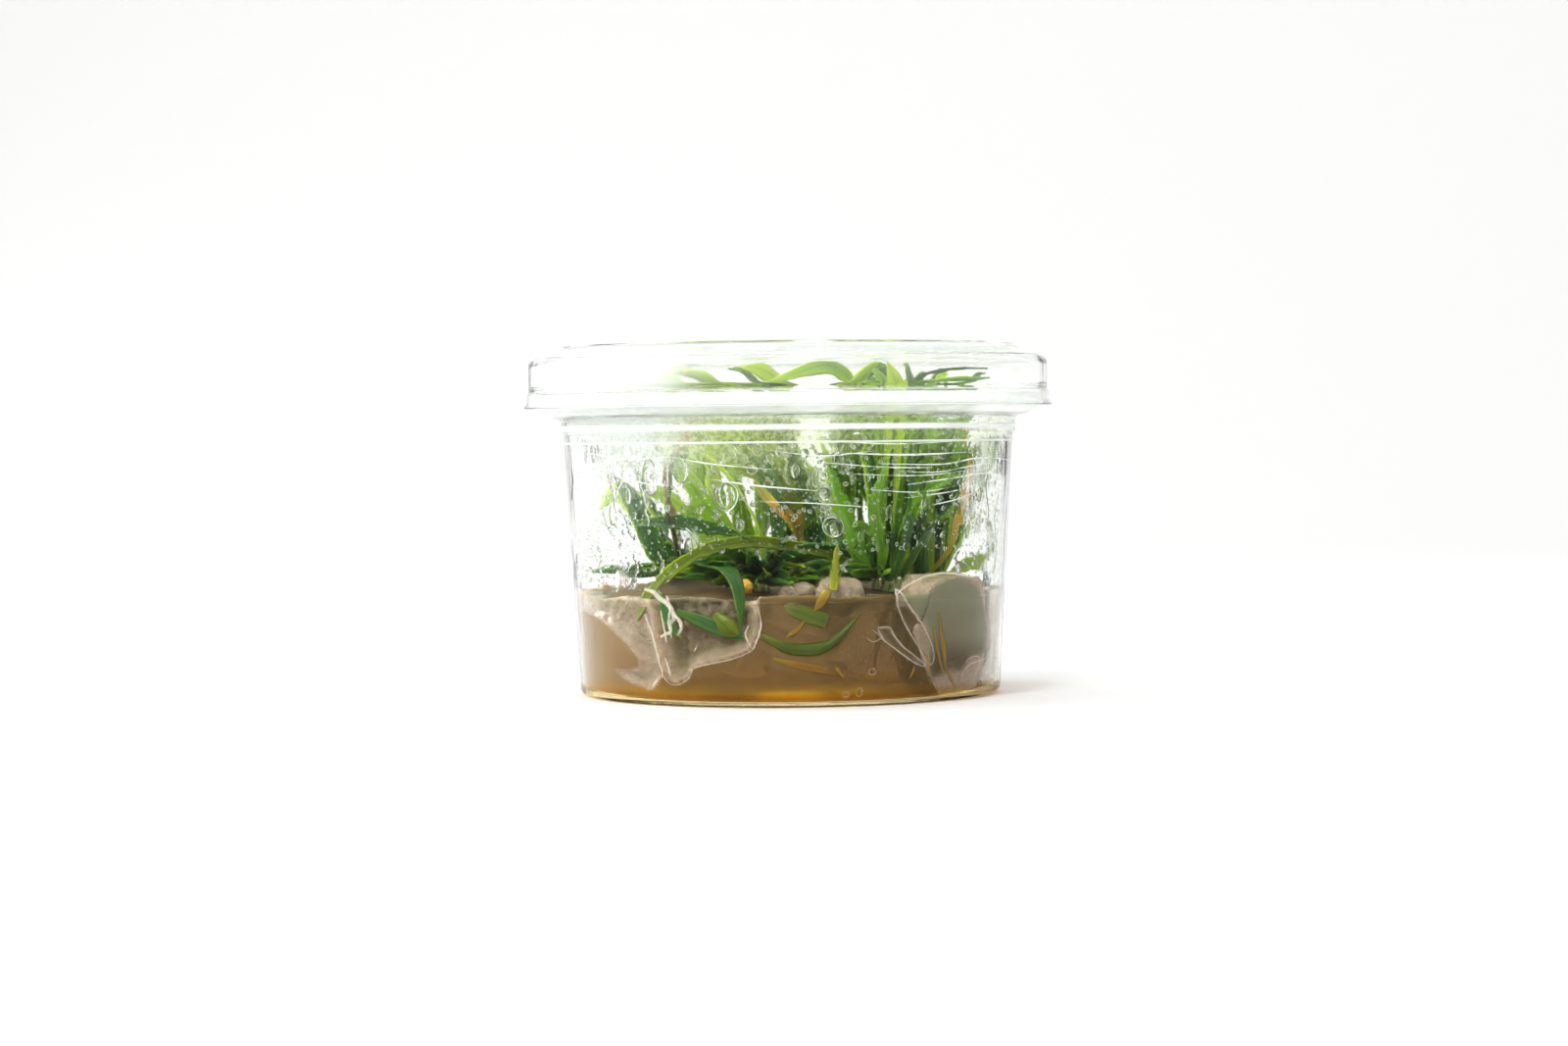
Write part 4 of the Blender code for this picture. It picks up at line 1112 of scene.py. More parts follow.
def edgeDistance(outline, degrees, height):
    # whether a place on the wall is inside an outline, and how far it is from its edge in mm
    inside, nearest = False, 99.0
    px, py = degrees * wallDegree, height
    for i, (bx, by) in enumerate(outline):
        ax, ay = outline[i - 1]
        ax, bx = ax * wallDegree, bx * wallDegree
        if (ay > py) != (by > py) and px < (bx - ax) * (py - ay) / (by - ay) + ax:
            inside = not inside
        length = (bx - ax) ** 2 + (by - ay) ** 2
        t = min(max(((px - ax) * (bx - ax) + (py - ay) * (by - ay)) / length, 0.0), 1.0)
        nearest = min(nearest, math.hypot(px - ax - t * (bx - ax), py - ay - t * (by - ay)))
    return inside, nearest


def markDry(mesh):
    # a chunk is wet where it lies flat against the wall, and pale along its broken edge
    dryness, rims, chunks = [], [], []
    for vertex in mesh.vertices:
        x, y, z = vertex.co / mm
        distance = innerWall(z) - math.hypot(x, y)
        rim = 0.6 * smoothStep((distance - 0.08) / 0.5)
        onRight = x > 15  # the large lump
        if onRight:
            degrees = math.degrees(math.atan2(x, -y))
            inside, nearest = edgeDistance(lumpRim, degrees, z)
            width = 1.7 + 1.5 * noise.noise(Vector((degrees * 0.14, z * 0.2, 2.0)))
            rim = 1 - smoothStep(nearest / width) if inside else 1.0
            rim = max(rim, 0.85 * smoothStep((distance - 0.1) / 0.6))
        dryness.append(smoothStep((distance - 0.08) / 0.5))
        rims.append(rim)
        chunks.append(float(onRight))
    setMarks(mesh, dry=dryness, rim=rims, chunk=chunks)


makeGel(gelFinish("agar", (0.122, 0.086, 0.032), (0.165, 0.120, 0.052), (0.054, 0.047, 0.019), 0.55),
        gelFinish("lump_agar", (0.175, 0.178, 0.112), (0.22, 0.218, 0.138), (0.132, 0.138, 0.088), 0.55))
print("gel is poured")


def tissue(name, first, second, rough):
    # blotched plant skin between two colours
    material, kit, place = newMaterial(name)
    blotch = kit.noise(place, 600.0, 4.0)
    kit.show(kit.coat({
        "Base Color": kit.mix(blotch, rgb(*first), rgb(*second)), "Roughness": rough + 0.2 * blotch,
        "Normal": kit.bump(kit.noise(place, 1800.0, 3.0), 0.4, 0.0001), "Subsurface Weight": 0.4,
        "Subsurface Radius": (1.0, 0.8, 0.4), "Subsurface Scale": 0.0006, "Coat Weight": 0.3}))
    return material


def newTree(name, **sockets):
    # a geometry tree with the given inputs; its nodes and what it is given
    tree = bpy.data.node_groups.new(name, "GeometryNodeTree")
    for label, kind in {"Geometry": "Geometry", **sockets, "Material": "Material"}.items():
        tree.interface.new_socket(label, in_out="INPUT", socket_type="NodeSocket" + kind)
    tree.interface.new_socket("Geometry", in_out="OUTPUT", socket_type="NodeSocketGeometry")
    kit = Kit(tree)
    return kit, kit.add("NodeGroupInput").outputs


def finishTree(kit, shape, material):
    shape = kit.out("GeometryNodeRealizeInstances", "Geometry", None, {"Geometry": shape})
    shape = kit.out("GeometryNodeSetMaterial", "Geometry", None, {"Geometry": shape, "Material": material})
    kit.add("NodeGroupOutput", None, {"Geometry": shape})
    return kit.tree


def strandTree():
    # tubes along the edges of a mesh; each point carries its own radius
    kit, given = newTree("strands", Sides="Int", Steps="Int")
    line = kit.out("GeometryNodeMeshToCurve", "Curve", None, {"Mesh": given["Geometry"]})
    smooth = kit.out("GeometryNodeCurveSplineType", "Curve", {"spline_type": "CATMULL_ROM"}, {"Curve": line})
    line = kit.out("GeometryNodeResampleCurve", "Curve", None, {"Curve": smooth, "Count": given["Steps"]})
    girth = kit.out("GeometryNodeInputNamedAttribute", "Attribute", None, {"Name": "girth"})
    ring = kit.out("GeometryNodeCurvePrimitiveCircle", "Curve", None, {
        "Resolution": given["Sides"], "Radius": 1.0})
    tube = kit.out("GeometryNodeCurveToMesh", "Mesh", None, {
        "Curve": line, "Profile Curve": ring, "Scale": girth, "Fill Caps": True})
    tube = kit.out("GeometryNodeSetShadeSmooth", "Geometry", None, {"Geometry": tube})
    return finishTree(kit, tube, given["Material"])


strands = strandTree()


def grown(obj, tree, **values):
    # the object after a geometry tree with these inputs, as a plain mesh
    modifier = obj.modifiers.new(tree.name, "NODES")
    modifier.node_group = tree
    for item in tree.interface.items_tree:
        if item.item_type == "SOCKET" and item.in_out == "INPUT" and item.name in values:
            modifier[item.identifier] = values[item.name]
    return settled(obj)


def makeStrands(name, lines, sides, steps, material):
    # lines are lists of (point in mm, radius in mm)
    points, edges, girths = [], [], []
    for line in lines:
        for i, (point, radius) in enumerate(line):
            if i:
                edges.append((len(points) - 1, len(points)))
            points.append(tuple(Vector(point) * mm))
            girths.append(radius * mm)
    mesh = newMesh(name, points, [], edges)
    setMarks(mesh, girth=girths)
    return grown(newObject(name, mesh), strands, Sides=sides, Steps=steps, Material=material)


roots = {"count": 15, "spread": (1.0, 5.5), "deep": (3.0, 12.0), "radius": (0.14, 0.26), "sheaths": 9}


def makeCrowns():
    rootSkin = tissue("root", (0.62, 0.50, 0.20), (0.42, 0.30, 0.09), 0.4)
    sheathSkin = tissue("sheath", (0.52, 0.58, 0.24), (0.26, 0.36, 0.08), 0.35)
    for plant, (x, y, lift) in crowns.items():
        draw = random.Random("crown" + plant)
        lines = []
        for k in range(roots["count"]):
            angle = 6.283 * (k + draw.random()) / roots["count"]
            reach = draw.uniform(*roots["spread"])
            low = draw.uniform(*roots["deep"])
            bend = draw.uniform(-0.9, 0.9)
            girth = draw.uniform(*roots["radius"])
            line = []
            for i in range(7):
                t = i / 6
                turn = angle + bend * t
                radius = 0.7 + reach * t ** 0.8
                point = (x + radius * math.cos(turn), y + radius * math.sin(turn),
                         (19.0 + lift) * (1 - t) + low * t + 0.4 * draw.uniform(-1, 1))
                limit = roomAt(max(point[2], 2)) - 0.8
                reached = math.hypot(point[0], point[1])
                shrink = min(1.0, limit / reached) if reached > 0.001 else 1.0
                place = (point[0] * shrink, point[1] * shrink, max(point[2], 2.4))
                line.append((place, girth * (1.1 - 0.75 * t)))
            lines.append(line)
        bundle = makeStrands("roots_" + plant, lines, 6, 18, rootSkin)
        for k in range(roots["sheaths"]):  # leaf bases wrapped round the stem
            angle = 6.283 * k / roots["sheaths"] + draw.uniform(-0.2, 0.2)
            high = draw.uniform(2.2, 4.4)
            line = []
            for i in range(5):
                t = i / 4
                radius = 0.9 + 1.2 * math.sin(t * 2.2)
                line.append(((x + radius * math.cos(angle + 0.5 * t), y + radius * math.sin(angle + 0.5 * t),
                              17.6 + lift + t * high), 0.95 * (1 - 0.62 * t)))
            lines.append(line)
        stem = makeStrands("stem_" + plant, lines[roots["count"]:], 10, 12, sheathSkin)
        joined = joinedMesh("rooted_crown_" + plant, [bundle, stem])
        keep(joined, None, "crown", "crown_" + plant)


def joinedMesh(name, objects):
    # the objects as one piece, each keeping its material
    shape = bmesh.new()
    materials = []
    for obj in objects:
        materials.append([material for material in obj.data.materials if material][0])
        start = len(shape.faces)
        shape.from_mesh(obj.data)
        shape.faces.ensure_lookup_table()
        for face in shape.faces[start:]:
            face.material_index = len(materials) - 1
    mesh = bpy.data.meshes.new(name)
    shape.to_mesh(mesh)
    shape.free()
    for material in materials:
        mesh.materials.append(material)
    for obj in objects:
        bpy.data.objects.remove(obj, do_unlink=True)
    return newObject(name, mesh)


def makeBud():
    mesh = lumpMesh("golden_bud", (-8.3, -24.6, 21.3), (1.6, 1.6, 1.6), 11, 0.0, 4, 1.0)
    mesh.shade_smooth()
    keep(newObject("golden_bud", mesh), tissue("bud", (0.85, 0.55, 0.08), (0.62, 0.34, 0.04), 0.2),
         "leaf_orange", "yellow_bud")


makeCrowns()
makeBud()
print("crowns and roots are in place")


drops = {
    "sectorFrom": -115, "sectorTo": 115, "low": 21.0, "high": 49.0,
    "fine": {"density": 1.1, "small": 0.11, "large": 0.50, "seed": 4}, "clear": (-34, 46, 27.0),
    # degrees, height, half width, half height, and how much it narrows upwards
    "placed": [
        (-15.8, 38.4, 2.5, 2.5, 0.0), (-37.2, 42.0, 1.9, 3.3, 0.35), (-27.9, 43.4, 1.7, 2.6, 0.3),
        (8.7, 38.7, 1.3, 1.3, 0.0), (11.1, 32.7, 2.0, 1.9, 0.0), (49.6, 24.8, 0.8, 1.2, 0.3),
        (36.6, 36.6, 0.9, 1.1, 0.2), (-14.0, 46.5, 1.0, 1.2, 0.1), (-11.0, 45.2, 0.8, 0.9, 0.0),
        (-7.6, 46.8, 1.1, 1.1, 0.0), (-4.6, 45.4, 0.7, 0.8, 0.0), (-2.0, 46.4, 0.9, 1.0, 0.2),
        (-17.0, 45.6, 0.8, 0.9, 0.0), (-9.0, 43.2, 1.0, 0.9, 0.0), (-20.2, 43.9, 0.8, 1.0, 0.2),
        (1.6, 43.0, 0.8, 1.4, 0.3), (4.0, 46.0, 0.9, 0.9, 0.0), (-12.4, 33.2, 0.9, 1.1, 0.3),
        (-23.0, 36.0, 0.7, 0.9, 0.2), (-32.2, 36.4, 0.6, 0.9, 0.2), (20.0, 41.6, 0.6, 0.8, 0.2),
        (26.0, 35.4, 0.7, 1.3, 0.3), (18.4, 31.0, 0.6, 1.0, 0.2), (-2.4, 36.0, 0.7, 0.8, 0.0),
        (-5.0, 40.6, 0.9, 0.8, 0.0), (-45.0, 38.6, 0.8, 1.6, 0.3), (-52.0, 35.0, 0.7, 1.9, 0.3),
        (58.0, 38.0, 0.7, 1.4, 0.3), (31.0, 29.0, 0.6, 0.9, 0.2), (15.0, 44.0, 0.8, 0.9, 0.0),
    ],
}
leafDrops = {"density": 0.05, "small": 0.08, "large": 0.40, "seed": 19}
# runs of water and the wet edges of the gel: radius in mm and points of degrees and heights
waterLines = [
    (0.32, [(-53.4, 45.5), (-52.2, 42.0), (-51.0, 38.4), (-50.2, 35.6)]),
    (0.26, [(-50.0, 38.8), (-47.4, 41.2), (-46.6, 44.0), (-47.6, 46.0)]),
    (0.26, [(-56.0, 36.6), (-54.6, 33.4), (-52.8, 31.6), (-51.4, 31.0)]),
    (0.24, [(-48.6, 36.4), (-46.2, 33.8), (-45.4, 31.8), (-44.2, 30.8)]),
    (0.26, [(-42.0, 44.0), (-40.4, 40.4), (-39.2, 36.0), (-38.6, 33.0)]),
    (0.24, [(-1.2, 47.6), (-0.4, 44.6), (-1.0, 42.2), (0.2, 40.4)]),
    (0.30, [(13.4, 47.6), (13.2, 45.4), (14.6, 43.4), (15.8, 41.6), (15.9, 40.2)]),
    (0.34, [(16.2, 27.0), (13.6, 25.6), (15.0, 24.4)]),
    (0.26, [(14.6, 22.6), (16.2, 21.0), (15.8, 19.4)]),
    (0.24, [(28.0, 46.6), (27.2, 44.4), (28.6, 42.0)]),
    (0.30, [(49.8, 27.8), (48.6, 26.2), (50.4, 24.2), (48.8, 22.8)]),
    (0.28, [(63.0, 44.0), (61.2, 39.4), (63.6, 35.0), (62.2, 31.4)]),
    (0.26, [(70.0, 38.0), (68.0, 33.4), (70.4, 27.4), (69.0, 22.6)]),
    (0.24, [(-61.0, 30.4), (-58.4, 27.6), (-59.4, 24.8), (-57.8, 22.6)]),
    (0.30, [(-44.6, 27.8), (-43.4, 25.0), (-45.2, 22.6), (-46.6, 21.4)]),
    (0.24, [(-36.0, 28.4), (-34.6, 26.2), (-35.4, 24.4)]),
    (0.30, [(5.8, 47.8), (6.8, 46.2), (9.4, 45.6), (12.6, 46.2)]),
]
gelEdges = [
    (0.26, hollows[0]["outline"][1:-1]), (0.28, hollows[2]["outline"] + hollows[2]["outline"][:1]),
    (0.24, hollows[3]["outline"][:7]), (0.20, hollows[3]["outline"][6:] + hollows[3]["outline"][:1]),
    (0.46, [(-40.8, 21.4), (-38.0, 20.9), (-36.7, 20.0), (-33.4, 18.6), (-31.8, 16.5), (-33.2, 15.0),
            (-33.0, 13.8), (-36.0, 12.8)]),
    (0.34, [(-31.8, 17.0), (-30.4, 16.0), (-29.6, 14.6), (-30.6, 13.2)]),
    (0.20, lumpRim[:11]),
    (0.24, [(54.0, 7.0), (58.0, 8.0), (62.0, 7.4), (60.4, 5.0), (58.6, 3.6), (60.0, 2.6)]),
    (0.20, [(-33.6, 20.4), (-32.8, 18.0), (-33.4, 15.6), (-32.6, 12.6)]),
    (0.18, [(-35.6, 17.6), (-35.0, 14.6), (-34.2, 11.8)]),
    (0.18, [(-35.0, 9.0), (-34.0, 7.2), (-33.4, 5.6)]),
    (0.16, [(-10.4, 11.4), (-11.6, 13.2), (-10.8, 15.0)]),
    (0.09, [(20.9, 6.6), (22.1, 6.9), (23.0, 6.4), (22.4, 5.8), (21.2, 5.9), (20.9, 6.6)]),
    (0.08, [(13.6, 2.6), (15.0, 2.8), (15.6, 2.2), (14.2, 1.9), (13.6, 2.6)]),
    (0.08, [(17.6, 3.2), (18.9, 3.4), (19.0, 2.2), (17.7, 2.0), (17.6, 3.2)]),
    (0.16, [(20.0, 12.6), (22.0, 11.8), (24.6, 12.4)]), (0.14, [(21.6, 14.0), (24.0, 12.8), (25.6, 11.4)]),
]
# scratches and pulled film round the outside, in degrees and heights
scratches = [
    (0.13, [(-18.9, 41.5), (-7.4, 40.3), (6.9, 39.3)]), (0.08, [(-8.5, 37.5), (7, 37), (20, 36.2)]),
    (0.14, [(13.6, 46), (30, 45.6), (49.9, 45.9)]),
    (0.12, [(23.1, 44), (41.5, 43.8), (55.8, 44.8), (80, 44.1)]),
    (0.12, [(30.3, 40.2), (45, 41.2), (56.2, 41.9), (66, 41.7)]),
    (0.10, [(30.4, 37.8), (46.2, 38.9), (58, 40.4)]),
    (0.10, [(8, 44.4), (24, 43.4), (38, 43.2)]), (0.08, [(16, 42.2), (34, 41.8), (52, 42.6)]),
    (0.10, [(-30, 45.6), (-18, 44.2), (-4, 43.2)]), (0.09, [(10, 48.2), (26, 47.6), (44, 47.9)]),
    (0.12, [(-60, 46.4), (-44, 45.2), (-30, 45.6)]),
    (0.08, [(28, 42.6), (40, 42.4), (56, 43.6), (70, 43.2)]),
    (0.07, [(-6, 46.8), (8, 45.6), (22, 46.4)]), (0.09, [(34, 36.0), (46, 37.2), (54, 38.4)]),
    (0.08, [(-52, 42.6), (-40, 41.0), (-30, 40.4)]), (0.07, [(20, 39.4), (34, 38.8), (48, 39.9)]),
]
mist = {
    "inset": 0.45, "thick": 0.05, "low": 20.5, "lidInset": 0.12, "steps": 128,
    # name, radius, low and high
    "rings": [
        # white rings at the rim, the step and the bead: frosting, and painted highlight bands where lamps reflect
        # on these curves
        ("mist_in_rim", 49.1, 55.0, 57.0), ("scuffed_cup_step", 43.43, 50.4, 51.3),
        ("scuffed_cup_bead", 42.88, 47.9, 48.3),
    ],
}


def water(name, bend, tint):
    material, kit, place = newMaterial(name)
    kit.showLampsThrough(kit.coat({
        "Base Color": rgb(*tint), "Roughness": 0.02, "IOR": bend, "Transmission Weight": 1.0,
        "Normal": kit.bump(kit.noise(place, 1500.0, 2.0), 0.25, 0.0001)}), 0.98, 0.98, 0.98)
    return material


def dropTree():
    # water drops scattered over a surface, most of them tiny
    kit, given = newTree(
        "drops", Drop="Collection", Density="Float", Small="Float", Large="Float", Seed="Int")
    spots = kit.add("GeometryNodeDistributePointsOnFaces", {"distribute_method": "RANDOM"}, {
        "Mesh": given["Geometry"], "Density": given["Density"], "Seed": given["Seed"]})
    drop = kit.out("GeometryNodeCollectionInfo", "Instances", None, {
        "Collection": given["Drop"], "Separate Children": True, "Reset Children": True})
    chance = kit.out("FunctionNodeRandomValue", "Value", None, {
        "Min": 0.0, "Max": 1.0, "Seed": given["Seed"]})
    spread = Wire(kit, given["Large"]) - given["Small"]
    size = Wire(kit, given["Small"]) + spread * chance ** 5.0
    laid = kit.out("GeometryNodeInstanceOnPoints", "Instances", None, {
        "Points": spots.outputs["Points"], "Instance": drop, "Pick Instance": True,
        "Rotation": spots.outputs["Rotation"], "Scale": size})
    return finishTree(kit, laid, given["Material"])


def dropShapes():
    # low domes of water on a flat base
    shapes = bpy.data.collections.new("drop shapes")
    sides, lifts = 9, (0, 22, 52)
    for i in range(3):
        draw = random.Random(70 + i)
        bend = draw.uniform(0, 6.28)
        points = []
        for lift in lifts:
            for k in range(sides):
                angle = 6.2832 * k / sides
                reach = math.cos(math.radians(lift)) * (1 + 0.12 * math.sin(2 * angle + bend))
                up = 0.5 * math.sin(math.radians(lift))
                points.append((reach * math.cos(angle), reach * math.sin(angle), up))
        points.append((0, 0, 0.5))
        faces = ringFaces(0, sides, len(lifts), True)
        faces.append(tuple(range(sides - 1, -1, -1)))
        mesh = newMesh("drop", points, faces)
        smoothBut(mesh, [len(faces) - 1])
        shapes.objects.link(bpy.data.objects.new("drop", mesh))
    return shapes


def smoothBut(mesh, flat):
    # smooth faces, but for the flat ones against the wall
    mesh.shade_smooth()
    for index in flat:
        mesh.polygons[index].use_smooth = False


def wallSheet(inset, side):
    # the inside of the cup's front and sides, facing inwards, left (-1) or right (1) of the middle
    steps, rows = 46, 12
    left, right, high = drops["clear"]
    points, faces = [], []
    for row in range(rows + 1):
        height = drops["low"] + (drops["high"] - drops["low"]) * row / rows
        for k in range(steps + 1):
            degrees = drops["sectorFrom"] + (drops["sectorTo"] - drops["sectorFrom"]) * k / steps
            points.append(tuple(wallPoint(degrees, height, inset) * mm))
            wanted = (degrees + 0.1) * side > 0 and not (left < degrees < right and points[-1][2] / mm < high)
            if wanted and row < rows and k < steps:
                a = row * (steps + 1) + k
                faces.append((a, a + steps + 1, a + steps + 2, a + 1))
    return newMesh("sheet", points, faces)


dropsTree = dropTree()


def scatter(name, mesh, shapes, fine, material):
    # fine says how many drops to a square mm, their sizes in mm, and the seed
    return grown(newObject(name, mesh), dropsTree, Drop=shapes, Density=fine["density"] / mm ** 2,
                 Small=fine["small"] * mm, Large=fine["large"] * mm, Seed=fine["seed"], Material=material)


def placedDrops(name, material):
    # the large drops, each a dome on the wall
    points, faces, flat = [], [], []
    sides, rows = 30, 8
    for index, (degrees, height, wide, tall, narrow) in enumerate(drops["placed"]):
        draw = random.Random(500 + index)
        phase, wobble = draw.uniform(0, 6.28), draw.uniform(0.02, 0.07)
        deep = min(wide, tall) * draw.uniform(0.3, 0.42)
        start = len(points)
        for row in range(rows):
            lift = math.radians(90 * row / rows)
            for k in range(sides):
                angle = 6.2832 * k / sides
                uneven = wobble * math.sin(2 * angle + phase) + wobble * math.sin(3 * angle) / 3
                edge = math.cos(lift) * (1 + uneven)
                up = edge * math.sin(angle)
                side = edge * math.cos(angle) * (1 - narrow * max(up, 0.0))
                turn = degrees + math.degrees(side * wide / 41.0)
                points.append(tuple(wallPoint(turn, height + up * tall, 0.04 + deep * math.sin(lift)) * mm))
        points.append(tuple(wallPoint(degrees, height, 0.04 + deep) * mm))
        faces += ringFaces(start, sides, rows, True)
        flat.append(len(faces))
        faces.append(tuple(range(start + sides - 1, start - 1, -1)))
    mesh = newMesh(name, points, faces)
    smoothBut(mesh, flat)
    mesh.flip_normals()
    mesh.materials.append(material)
    return newObject(name, mesh)


def onWall(lines, inset, wiggle, seed):
    # lines of degrees and heights as smooth lines of points on the wall with their radius
    draw = random.Random(seed)
    found = []
    for radius, route in lines:
        points = [*map(Vector, route)]
        steps = 8 * (len(points) - 1)
        line = []
        for i in range(steps + 1):
            share = i / steps
            degrees, height = through(points, share)
            swell = radius * (0.55 + 0.45 * math.sin(math.pi * share)) * draw.uniform(0.75, 1.25)
            degrees += wiggle * draw.uniform(-1, 1)
            line.append((wallPoint(degrees, height, inset + swell), swell))
        found.append(line)
    return found


def makeWater():
    wet = water("condensation", 1.33, (1.0, 1.0, 1.0))
    shapes = dropShapes()
    left, right = [
        scatter(f"fine{side}", wallSheet(0.03, side), shapes, drops["fine"], wet) for side in (-1, 1)]
    large = placedDrops("large", wet)
    runs = makeStrands("runs", onWall(waterLines, 0.04, 0.35, 31), 10, 60, wet)
    keep(joinedMesh("water_on_wall_left", [left, large]), None, "clear_cup")
    keep(joinedMesh("water_on_wall_right", [right, runs]), None, "clear_cup")
    makeTangle()
    dew = []
    for i, name in enumerate(("young_leaves_deep", "curling_roots")):
        fine = dict(leafDrops, seed=leafDrops["seed"] + i)
        dew.append(scatter(f"dew{i}", bpy.data.objects[name].data.copy(), shapes, fine, wet))
    keep(joinedMesh("dew_on_leaves", dew), None, "leaf_fresh")


tangle = {"count": 26, "x": (-13, 12), "y": (-20, -4), "low": 20.2, "high": 27.5, "radius": (0.18, 0.45)}


def makeTangle():
    # dark curling roots between the crowns
    draw = random.Random(610)
    lines = []
    for k in range(tangle["count"]):
        x, y = draw.uniform(*tangle["x"]), draw.uniform(*tangle["y"])
        z = draw.uniform(tangle["low"], tangle["high"] - 1.5)
        heading, girth, curl = draw.uniform(0, 6.28), draw.uniform(*tangle["radius"]), draw.uniform(-1.4, 1.4)
        line = []
        for i in range(9):
            line.append(((x, y, z), girth * (1 - 0.08 * i)))
            heading += curl + draw.uniform(-0.4, 0.4)
            x += 1.5 * math.cos(heading)
            y += 1.5 * math.sin(heading)
            z = min(max(z + draw.uniform(-0.9, 0.9), tangle["low"]), tangle["high"])
        lines.append(line)
    skin = tissue("aerial_root", (0.014, 0.034, 0.006), (0.060, 0.050, 0.012), 0.12)
    keep(makeStrands("curling_roots", lines, 7, 24, skin), None, "crown")


def makeGelEdges():
    # where the gel meets air and wall it ends in a glassy bead; its near-white colour paints the bright highlight
    # line along the meniscus
    material, kit, place = newMaterial("gel_bead")
    colour = kit.mix(kit.noise(place, 500.0, 3.0), rgb(0.95, 0.88, 0.74), rgb(1.0, 0.97, 0.90))
    kit.showLampsThrough(kit.coat({
        "Base Color": colour, "Roughness": 0.05, "IOR": 1.36, "Transmission Weight": 0.75, "Coat Weight": 1.0,
        "Coat Roughness": 0.03}), 0.95, 0.93, 0.88)
    edges = makeStrands("gel_edges", onWall(gelEdges, 0.03, 0.12, 47), 10, 110, material)
    keep(edges, None, "agar_gel")


def makeDeadStem():
    skin = tissue("dead_stem", (0.06, 0.07, 0.03), (0.16, 0.12, 0.05), 0.3)
    keep(makeStrands("dead_stem", [deadStem], 8, 60, skin), None, "leaf_brown")


def makeScratches():
    # thin raised lines on the outside of the wall, broken here and there
    material, kit, place = newMaterial("scratch")
    broken = kit.noise(place, 220.0, 3.0).smooth(0.25, 0.55)
    kit.show(kit.coat({"Base Color": rgb(0.97, 1.0, 0.97), "Roughness": 0.3, "Alpha": broken * 0.7}))
    lines = []
    for radius, route in scratches:
        points = [*map(Vector, route)]
        line = []
        for i in range(25):
            degrees, height = through(points, i / 24)
            thick = 1.35 * radius * (0.25 + 0.75 * math.sin(math.pi * i / 24))
            line.append((wallPoint(degrees, height, -jar["wall"] - thick - 0.02), thick))
        lines.append(line)
    keep(makeStrands("scratches", lines, 6, 60, material), None, "clear_cup")


def frost(name, amount, rough, white):
    # drops too small to see: they blur and whiten what lies behind them
    material, kit, place = newMaterial(name)
    x, y, z = kit.parts(place)
    # painted glow: the cup's mist is tinted yellow-green where leaves lie behind it, standing in for their light
    # through it
    leafGlow = x.smooth(-0.026, -0.010) * z.smooth(0.056, 0.048) * (1.0 if name == "mist" else 0.0)
    blur = kit.coat({
        "Base Color": kit.mix(leafGlow, rgb(0.99, 1.0, 0.99), rgb(0.97, 1.0, 0.84)), "Roughness": rough,
        "IOR": 1.2, "Transmission Weight": 1.0})
    pale = kit.coat({
        "Base Color": kit.mix(leafGlow, rgb(0.98, 0.99, 0.98), rgb(0.88, 0.96, 0.52)), "Roughness": 0.6,
        "Specular IOR Level": 0.2})
    clear = kit.out("ShaderNodeBsdfTransparent", "BSDF")
    share = amount(kit, place) * (1.0 - kit.out("ShaderNodeLightPath", "Is Shadow Ray") * 0.7)
    kit.show(kit.blend(share, clear, kit.blend(white, blur, pale)))
    return material


def cupMistAndGlare(kit, place):
    # condensation mist with painted glare: more at the left and high up, where the light glares, and fine specks
    # in it
    x, y, z = kit.parts(place)
    cloud = kit.noise(place, 95.0, 4.0, 0.6, 0.5)
    speck = kit.noise(place, 1100.0, 4.0, 0.6, 0.4).smooth(0.40, 0.62)
    left = x.smooth(-0.012, -0.038)
    middle = x.smooth(0.016, -0.002)
    high = z.smooth(0.041, 0.052)
    amount = left * 0.10 + high * 0.34 + left * high * 0.50 + middle * z.smooth(0.030, 0.047) * 0.24
    return (amount * (0.35 + 0.8 * cloud + 0.45 * speck)).smooth(0.0, 1.0)


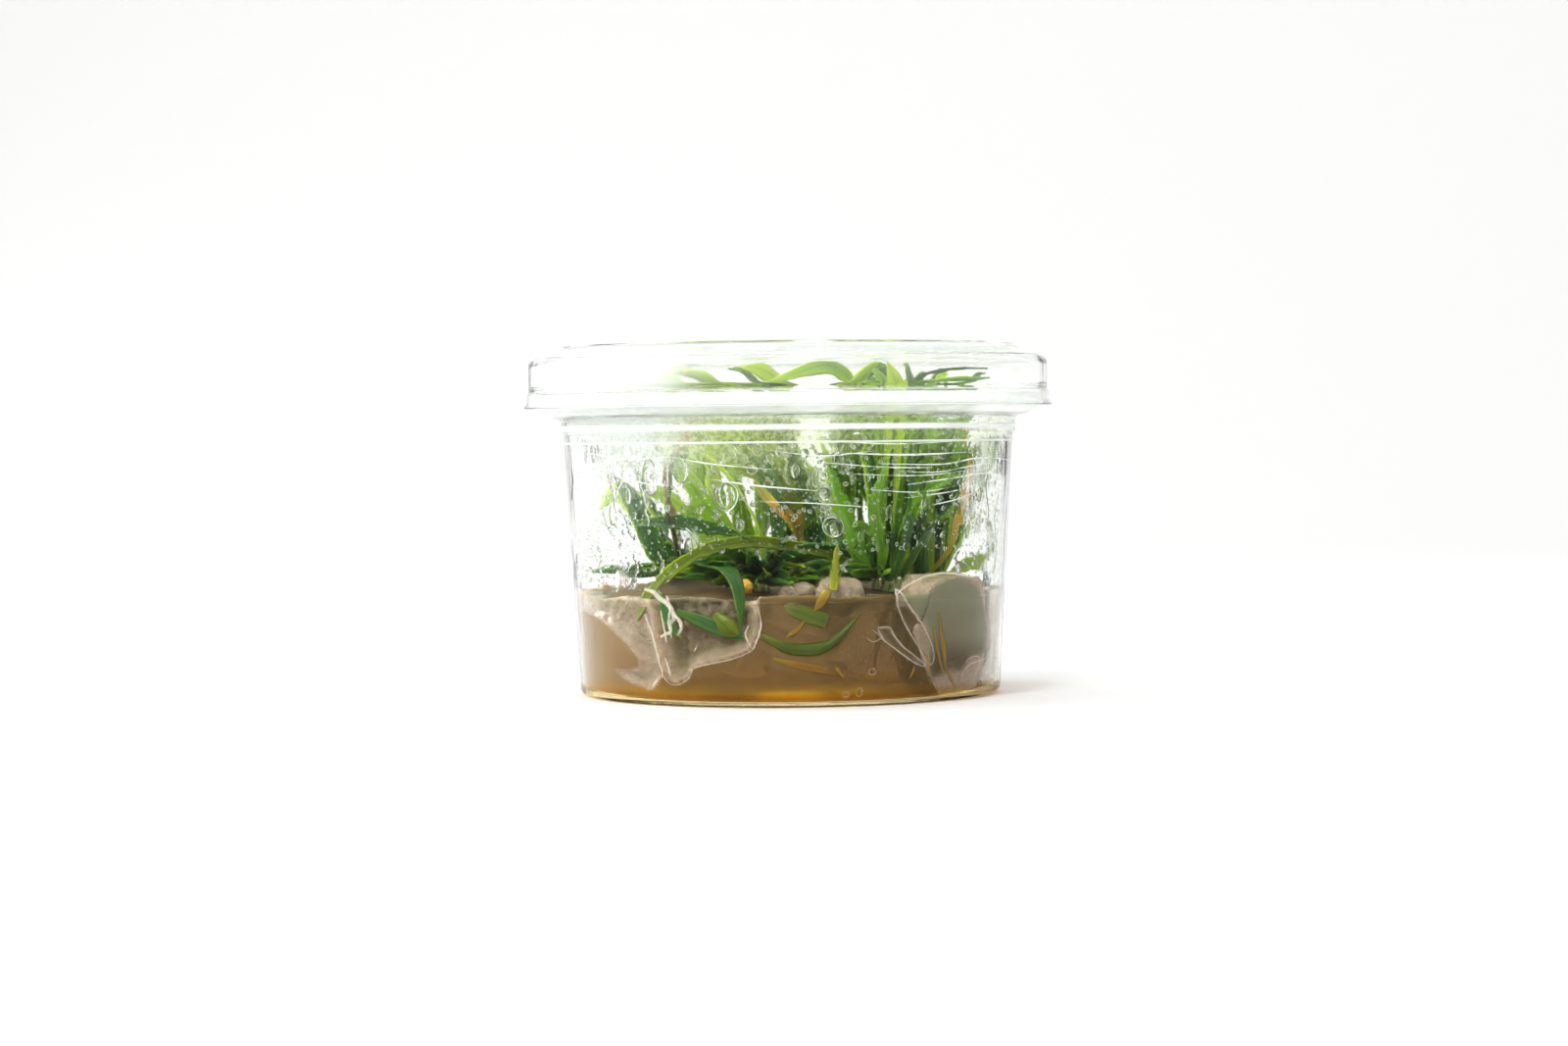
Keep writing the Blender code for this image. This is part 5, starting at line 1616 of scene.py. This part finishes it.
def lidMistAndGlare(kit, place):
    # mist with painted glare: more at the left, where the lamps glare on the lid, and along the skirt, and little
    # on the panel
    x, y, z = kit.parts(place)
    cloud = kit.noise(place, 95.0, 4.0, 0.6, 0.5)
    band = z.smooth(0.0580, 0.0572) * 0.3 + z.smooth(0.0622, 0.0634) * 0.25
    panel = 0.2 + 0.8 * roundReach(x, y).smooth(0.0400, 0.0412)
    return ((0.17 + band + 0.75 * x.smooth(-0.010, -0.034)) * (0.6 + 0.8 * cloud) * panel).smooth(0.0, 1.0)


# frosting with painted highlight: how white the rings at the rim, the step and the bead are
def ringFrostAndHighlight(kit, place):
    return 0.36 + 0.50 * kit.noise(kit.stretched(place, 9.0), 150.0, 4.0)


def makeMist():
    fog = frost("mist", cupMistAndGlare, 0.42, 0.35)
    lidFog = frost("lid_mist", lidMistAndGlare, 0.42, 0.5)
    ringFrostAndHighlightFinish = frost("scuffed_plastic", ringFrostAndHighlight, 0.5, 0.7)
    inset, thick, wall = mist["inset"], mist["thick"], jar["wall"]
    line = [
        (innerWall(mist["low"]), mist["low"]), (jar["wallHigh"][0] - wall, 49.7), (stepRadius - wall, 50.4),
        (stepRadius - wall, 53.2), (45.1, 54.2), (46.8, 55.6),
    ]
    outer = [(radius - inset, height) for radius, height in line]
    inner = [(radius - inset - thick, height) for radius, height in reversed(line)]
    keep(turned("mist_in_cup", outer + inner + outer[:1], mist["steps"]), fog, "clear_cup")
    dome = cover["dome"] - cover["wall"] - mist["lidInset"]
    outer = [
        (dome - 0.75, 57.7), (dome - 0.75, 58.5), (dome - 0.05, 59.0), (dome - 0.05, 62.6),
        (dome - 0.9, 63.4), (44.2, 63.7), (43.5, 65.4), (42.1, 65.4), (41.2, 63.9), (0.0, 63.9),
    ]
    inner = [(max(radius - thick, 0.0), height - thick) for radius, height in reversed(outer)]
    keep(turned("mist_in_lid", outer + inner, mist["steps"]), lidFog, "clear_lid")
    for name, radius, low, high in mist["rings"]:
        ring = [(radius, low), (radius + 0.08, low), (radius + 0.08, high), (radius, high), (radius, low)]
        keep(turned(name, ring, mist["steps"]), ringFrostAndHighlightFinish, "clear_cup" if "cup" in name else "clear_lid")


makeWater()
makeGelEdges()
makeDeadStem()
makeScratches()
makeMist()
print("water, mist and scratches are on the walls")
